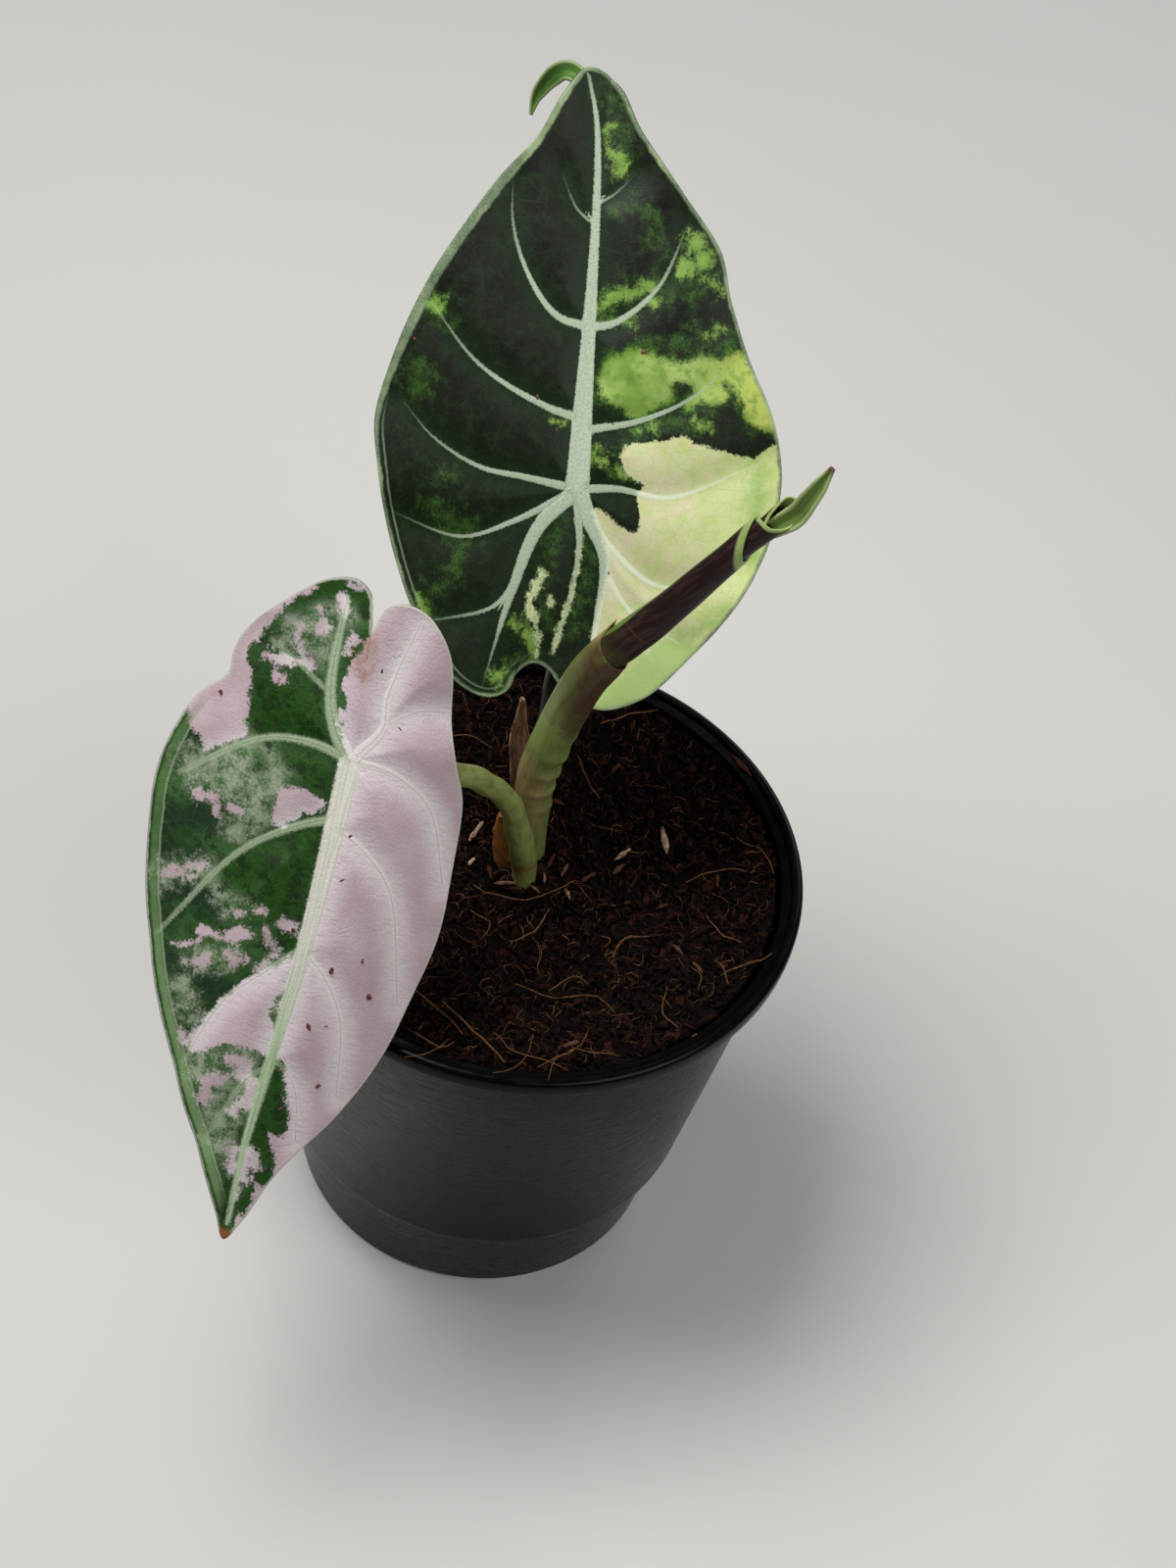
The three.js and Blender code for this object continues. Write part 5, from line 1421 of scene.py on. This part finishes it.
def fibre_points(random, count, shortest, longest, thinnest, thickest, steps):
    """Curled coir fibres lying on the soil, as centre lines."""
    lines = []
    reach = pot_inner_radius(SOIL_TOP) - 0.8
    share = np.linspace(0, 1, steps)
    while len(lines) < count:
        start = random.uniform(-reach, reach, 2)
        heading = random.uniform(0, 2 * np.pi)
        curl = random.normal(0, 1.8)
        length = random.uniform(shortest, longest)
        headings = heading + curl * share + 0.5 * np.sin(share * 7 + heading)
        strides = np.stack([np.cos(headings), np.sin(headings)], -1) * length / steps
        flat = start + np.cumsum(strides, axis=0)
        if np.hypot(*flat.T).max() > reach:
            continue
        tilt = random.uniform(-0.7, 0.9)
        arch = 0.5 * np.sin(np.pi * share) * random.random()
        lift = soil_height(*flat.T) + 0.4 + arch + tilt * (share - 0.5)
        lines.append((np.column_stack([flat, lift]), random.uniform(thinnest, thickest), random.random()))
    return lines


# Fibres that stand out in view, each its points and radius in millimetres. A height under 3 is
# taken from the soil's surface, a greater one from the level of the soil's top.
LONG_FIBRES = [
    ([(-13.5, -28.5, 0.8), (-9, -31.5, 1), (-4.5, -35.6, 0.8)], 0.15),
    ([(-8.6, -30, 0.9), (-3.4, -34.6, 1.1), (2.5, -40.1, 0.9)], 0.18),
    ([(-14, -37.5, 3.2), (-10.5, -40.2, 5.2), (-7, -41.6, 5.3), (-5.5, -40, 5.1)], 0.098),
    ([(-12.2, -44.1, 4.7), (-9.5, -43.2, 5), (-7.5, -41.6, 5.3), (-6.4, -39.7, 5)], 0.083),
    ([(7.4, -41.7, 4.9), (11.3, -37.2, 3.5), (14.8, -35.1, 1.3), (19.5, -34.4, 0.9)], 0.11),
    ([(9.3, -43.6, 4.8), (9.8, -39.3, 4.6), (13.2, -34.9, 1.6), (14.2, -30.4, 0.9)], 0.098),
    ([(0, -36, 2.2), (4, -39, 4), (9, -40.5, 5.3), (12, -41.4, 5.2)], 0.09),
    ([(6, -34, 1.2), (5.6, -39, 3.6), (3.5, -43.2, 5.2), (1, -44.2, 5)], 0.09),
    ([(16.1, -16.1, 0.8), (17, -13, 1.2), (18.9, -11.5, 1.2), (21.3, -10.6, 0.8)], 0.15),
    ([(33.4, -15.6, 0.8), (35.6, -14.1, 1.2), (38.7, -12.8, 1.2), (40.8, -11, 0.9)], 0.13),
    ([(32.9, -13, 0.8), (33.7, -14.8, 1.2), (34.7, -17.3, 0.8)], 0.13),
    ([(8.1, 32.6, 0.9), (12.6, 35.2, 1.2), (15.8, 36.7, 1.1), (17.4, 37.2, 0.9)], 0.15),
    ([(29.9, -29.2, 0.8), (30.6, -28.6, 1)], 0.19),
    ([(7.2, -24.1, 0.8), (10.7, -21.3, 1.2), (13.1, -21.7, 0.8)], 0.11),
    ([(26.1, 2.5, 0.8), (30.7, 5, 1.2), (35.5, 5.4, 0.8)], 0.11),
    ([(5.3, 25.5, 0.8), (7.8, 19.4, 1.3), (10.1, 16.7, 0.8)], 0.13),
    ([(25.3, -19.8, 0.8), (25.1, -25.6, 1.2), (27.7, -27.9, 0.8)], 0.11),
    ([(-0.2, -16.1, 0.8), (3.3, -13.2, 1.3), (5.1, -8.8, 0.9)], 0.13),
    ([(33.3, 12.7, 0.8), (37.7, 9.5, 1.2), (39.8, 5.4, 0.8)], 0.11),
    ([(-7.1, -11.7, 0.8), (-3.6, -13.9, 1.3), (-4.7, -17.1, 0.8)], 0.12),
    ([(-7.5, -7, 1.2), (-3, -9, 2), (2.2, -8.4, 2.2), (6.5, -5.2, 2.2), (8.2, -3, 1.6)], 0.098),
    ([(2, -24, 0.8), (8, -26, 1.2), (15, -24, 0.9), (18, -27, 0.8)], 0.098),
    ([(30, -4, 0.8), (33, -8, 1.1), (36, -9, 0.8)], 0.11),
    ([(-20, 20, 0.8), (-14, 24, 1.2), (-9, 23, 0.8)], 0.13),
]
# Husk slivers: place, heading in degrees, length, width and shade
HUSKS = [
    ((21.7, 10.6), 105, 6, 1.5, 1), ((15.3, 5.7), 53, 4, 1, 0.85), ((15, 3), 57, 3.4, 1.1, 0.5),
    ((17.3, -4), 20, 1.4, 0.8, 0.45), ((26.2, -11.8), 138, 2.8, 0.9, 0.5),
    ((29.6, -15), 135, 2.7, 0.8, 0.5), ((4, 0.3), 78, 3.4, 0.9, 0.4), ((6.4, -0.4), 74, 3.2, 0.8, 0.55),
    ((10.4, -0.8), 49, 3.3, 1, 0.4), ((32.7, 27.7), 134, 6, 2, 0.1), ((-8.8, 5), 71, 5.2, 1.1, 0.9),
    ((-8.5, -1.6), 65, 1.9, 0.9, 0.95), ((12, -34), 30, 3, 1, 0.5), ((-22, -24), 130, 3.8, 1.5, 0.6),
    ((3, 14), 170, 3.4, 1.1, 0.3), ((-24, 6), 75, 3, 1.3, 0.4), ((-2.4, -5.9), 15, 4, 0.9, 0.55),
    ((7.5, -5), 120, 2.4, 0.8, 0.7), ((-5.4, -3.6), 110, 3, 0.9, 0.35), ((23, -3), 35, 2.2, 0.8, 0.25),
    ((31, 3), 95, 2.8, 0.9, 0.2), ((12, 24), 65, 3, 1, 0.2), ((-0.6, -6.6), 10, 2.2, 0.6, 0.3),
    ((2.2, -6.3), 150, 2.4, 0.5, 0.6), ((-3, -5.2), 60, 2, 0.6, 0.25), ((3.4, -3.8), 100, 2.2, 0.6, 0.7),
]


def fibres_piece(random):
    """All loose fibres as slim three-sided strands in one piece."""
    lines = fibre_points(random, LONG_STRANDS, 3, 10, 0.05, 0.1, 9)
    lines += fibre_points(random, SHORT_STRANDS, 1.2, 4, 0.04, 0.1, 4)
    for points, radius in LONG_FIBRES:
        line = smooth(points, 9)
        line[:, 2] += soil_height(line[:, 0], line[:, 1]) * (line[:, 2] < 3) + SOIL_TOP * (line[:, 2] >= 3)
        lines.append((line, radius, 0.9))
    faces, corners, shades = [], [], []
    for line, radius, shade in lines:
        first = len(corners)
        heading = np.gradient(line, axis=0)
        side = unit(np.cross(heading, (0, 0, 1)))
        up = unit(np.cross(side, heading))
        taper = radius * np.sin(np.pi * np.linspace(0.12, 0.9, len(line))) ** 0.5
        for i in range(len(line)):
            for k in range(3):
                turn = 2 * math.pi * k / 3
                corners.append(line[i] + taper[i] * (math.cos(turn) * side[i] + math.sin(turn) * up[i]))
                shades.append(shade)
        for i in range(len(line) - 1):
            for k in range(3):
                a, b = first + 3 * i + k, first + 3 * i + (k + 1) % 3
                faces.append((a, b, b + 3, a + 3))
        last = len(corners) - 3
        faces += [(first + 2, first + 1, first), (last, last + 1, last + 2)]
    mesh = bpy.data.meshes.new("coir_fibres")
    mesh.from_pydata((np.array(corners) * MM).tolist(), [], faces)
    piece = bpy.data.objects.new("coir_fibres", mesh)
    bpy.context.collection.objects.link(piece)
    store(piece, "shade", np.array(shades))
    activate(piece)
    bpy.ops.object.mode_set(mode="EDIT")
    bpy.ops.mesh.select_all(action="SELECT")
    bpy.ops.mesh.normals_make_consistent(inside=False)
    bpy.ops.object.mode_set(mode="OBJECT")
    return piece


def husks_piece():
    """Husk slivers that lie on the soil."""
    bpy.ops.mesh.primitive_uv_sphere_add(segments=12, ring_count=7, radius=1)
    model = bpy.context.object
    shape = read_points(model)
    points = []
    for (x, y), heading, length, width, _ in HUSKS:
        turn = Matrix.Rotation(math.radians(heading), 3, "Z") @ Matrix.Rotation(0.15, 3, "X")
        sliver = shape * (length / 2, width / 2, 0.28)
        sliver[:, 1] *= 0.75 + 0.25 * np.sin(5 * shape[:, 0] + x)
        sliver[:, 2] += 0.12 * np.cos(2.4 * shape[:, 0])
        points.append(sliver @ np.array(turn).T + (x, y, float(soil_height(x, y)) + 0.75))
    activate(model)
    bpy.ops.object.mode_set(mode="EDIT")
    bpy.ops.mesh.select_all(action="SELECT")
    bpy.ops.mesh.quads_convert_to_tris()
    bpy.ops.object.mode_set(mode="OBJECT")
    piece = copies("husk_slivers", model.data, np.array(points), [husk[-1] for husk in HUSKS])
    bpy.data.objects.remove(model)
    activate(piece)
    bpy.ops.object.shade_smooth()
    return piece


def coir(name, dark, red, light, roughness):
    """Moist coir: near-black brown with rusty and tan bits, matt and crumbly."""
    m = new_material(name)
    place = add(m, "TexCoord")
    cloud = add(m, "TexNoise", {"Vector": (place, 3), "Scale": 160, "Detail": 4})
    grit = add(m, "TexNoise", {"Vector": (place, 3), "Scale": 1500, "Detail": 4, "Roughness": 0.7})
    shade = add(m, "Attribute", attribute_name="shade")
    base = add(m, "MixRGB", [cloud, dark, red])
    lighter = add(m, "MapRange", [(shade, 2), 0.45, 1, 0, 0.9])
    darker = add(m, "MapRange", [grit, 0.54, 0.34, 0, 0.8])
    bump = add(m, "Bump", {"Height": grit, "Strength": 0.8, "Distance": 0.0004})
    for amount, colour in ((lighter, light), (darker, dark)):
        base = add(m, "MixRGB", [amount, base, colour])
    shader = add(m, "BsdfPrincipled", {"Base Color": base, "Roughness": roughness, "Normal": bump,
                                       "Specular IOR Level": 0.08})
    add(m, "OutputMaterial", {"Surface": shader})
    return m


# Build

pot = pot_piece()
finish_piece(pot, pot_plastic(), "pot_plastic", "pot")

random = np.random.default_rng(SEED)
soil = soil_piece()
finish_piece(soil, coir("damp_coir_bed", "#050302", "#0C0504", "#140A07", 0.95), "soil", "soil")
crumbs = crumbs_piece(random)
finish_piece(crumbs, coir("damp_coir_crumbs", "#050302", "#120705", "#2E160D", 0.9), "soil")
fibres = fibres_piece(random)
finish_piece(fibres, coir("dry_coir_fibre", "#160B06", "#28160D", "#6E4C30", 0.8), "soil")
husks = husks_piece()
finish_piece(husks, coir("pale_husk", "#2C170E", "#4A2A1B", "#B4957A", 0.75), "soil")
bark = coir("rough_stock_bark", "#2A1810", "#43291B", "#5F4230", 0.85)
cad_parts["rhizome"].data.materials.clear()
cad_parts["rhizome"].data.materials.append(bark)

stem = sheath_piece()
finish_piece(stem, stem_skin(), "stem", "back_leaf_stem")
front_path = FRONT_STALK + [tuple(front_leaf.point(*at)) for at in ((1, -1.5, -4.6), (0.1, -0.2, -2.2))]
front_stem = tube("front_petiole", front_path, FRONT_STALK_RADII, 40, 220)
finish_piece(front_stem, petiole_skin(), "stem", "front_leaf_stem")
roll = roll_piece()
finish_piece(roll, roll_skin(), "rolled_blade", "new_leaf_rolled")

back_blade = blade("back_blade", back_leaf, back_regions)
finish_piece(back_blade, back_leaf_skin(), "dark_blade", "back_leaf_blade")
curl = ribbon("curled_tip", CURL_PATH, (0.1, -0.8, 0.6), [1, 1.4, 1.4, 1, 0.15], 0.35, 0.5)
finish_piece(curl, curl_skin(), "dark_blade")
front_blade = blade("front_blade", front_leaf, front_regions)
finish_piece(front_blade, front_leaf_skin(), "pale_blade", "front_leaf_blade")
sap = speck_skin()
for name, leaf, specks in (("front_specks", front_leaf, RED_SPECKS),
                           ("back_specks", back_leaf, DARK_LEAF_SPECKS)):
    finish_piece(specks_piece(name, leaf, specks), sap, "pale_blade")

dry_path = [(-2.8, -1.9, 70), (-3.2, -1.9, 76), (-4.1, -1.9, 81), (-4.9, -1.8, 86), (-5.1, -1.8, 89.6)]
dry_sheath = slip("dry_foot_sheath", dry_path, (0.6, 0.8, 0), [2, 2.3, 2.3, 1.7, 0.5])
finish_piece(dry_sheath, paper_skin("dry_orange_sheath", "#60390D", "#A06618"), "dry_sheath", "dry_sheath")
scale_path = [
    (0.6, 4.8, 70), (0.4, 4.9, 76), (-1, 5.1, 86), (-2.7, 5.4, 91), (-3.9, 5.9, 96), (-4.8, 6.3, 100.4),
    (-5.2, 6.9, 107.4),
]
scale = slip("papery_scale", scale_path, (0.5, -0.8, 0), [0.6, 0.8, 1.1, 1.7, 2.2, 2, 1.3, 0.2])
finish_piece(scale, paper_skin("dry_brown_scale", "#6A3B28", "#C99C86"), "paper_scale", "paper_scale")


# Studio: pale floor, soft lights and the camera at the photograph's angle

def floor_material():
    """Matt pale card with a trace of mottle."""
    m = new_material("pale_matt_card")
    place = add(m, "TexCoord")
    cloud = add(m, "TexNoise", {"Vector": (place, 3), "Scale": 6, "Detail": 3})
    base = add(m, "MixRGB", [cloud, "#B8B6B1", "#C0BEBA"])
    shader = add(m, "BsdfPrincipled", {"Base Color": base, "Roughness": 0.8})
    add(m, "OutputMaterial", {"Surface": shader})
    return m


bpy.ops.mesh.primitive_plane_add(size=6, location=(0, 0, -0.0002))
floor = bpy.context.object
floor.name = "floor"
floor.data.materials.append(floor_material())


LIGHT_TARGET = (0, 0, 0.1)


def soft_light(name, place, size, power):
    bpy.ops.object.light_add(type="AREA", location=place)
    light = bpy.context.object
    light.name = name
    light.data.size = size
    light.data.energy = power
    light.rotation_euler = (Vector(LIGHT_TARGET) - Vector(place)).to_track_quat("-Z", "Y").to_euler()


soft_light("key", (-0.3, 0.05, 0.75), 0.4, 6.7)
soft_light("fill", (0.5, -0.35, 0.65), 0.5, 3.4)
soft_light("rim", (0.3, 0.7, 0.45), 0.5, 1.6)

world = bpy.data.worlds.new("studio")
world.use_nodes = True
world.node_tree.nodes["Background"].inputs["Color"].default_value = linear("#DDE2E8")
world.node_tree.nodes["Background"].inputs["Strength"].default_value = 0.14
bpy.context.scene.world = world
bpy.context.scene.view_settings.view_transform = "Standard"

CAMERA_PLACE = (0, -0.25631, 0.38455)
HALF_VIEW = math.radians(17.5)
SENSOR = 36
bpy.ops.object.camera_add(location=CAMERA_PLACE)
camera = bpy.context.object
camera.name = "camera"
camera.data.sensor_width = SENSOR
camera.data.lens = SENSOR / 2 / math.tan(HALF_VIEW)
# The camera's axes in the frame: right, up and back
right = Vector((0.98239, 0.12612, 0.13785))
up = Vector((-0.18588, 0.73415, 0.65304))
back = Vector((-0.01884, -0.66717, 0.74467))
camera.matrix_world = Matrix.Translation(CAMERA_PLACE) @ Matrix((right, up, back)).transposed().to_4x4()
bpy.context.scene.camera = camera
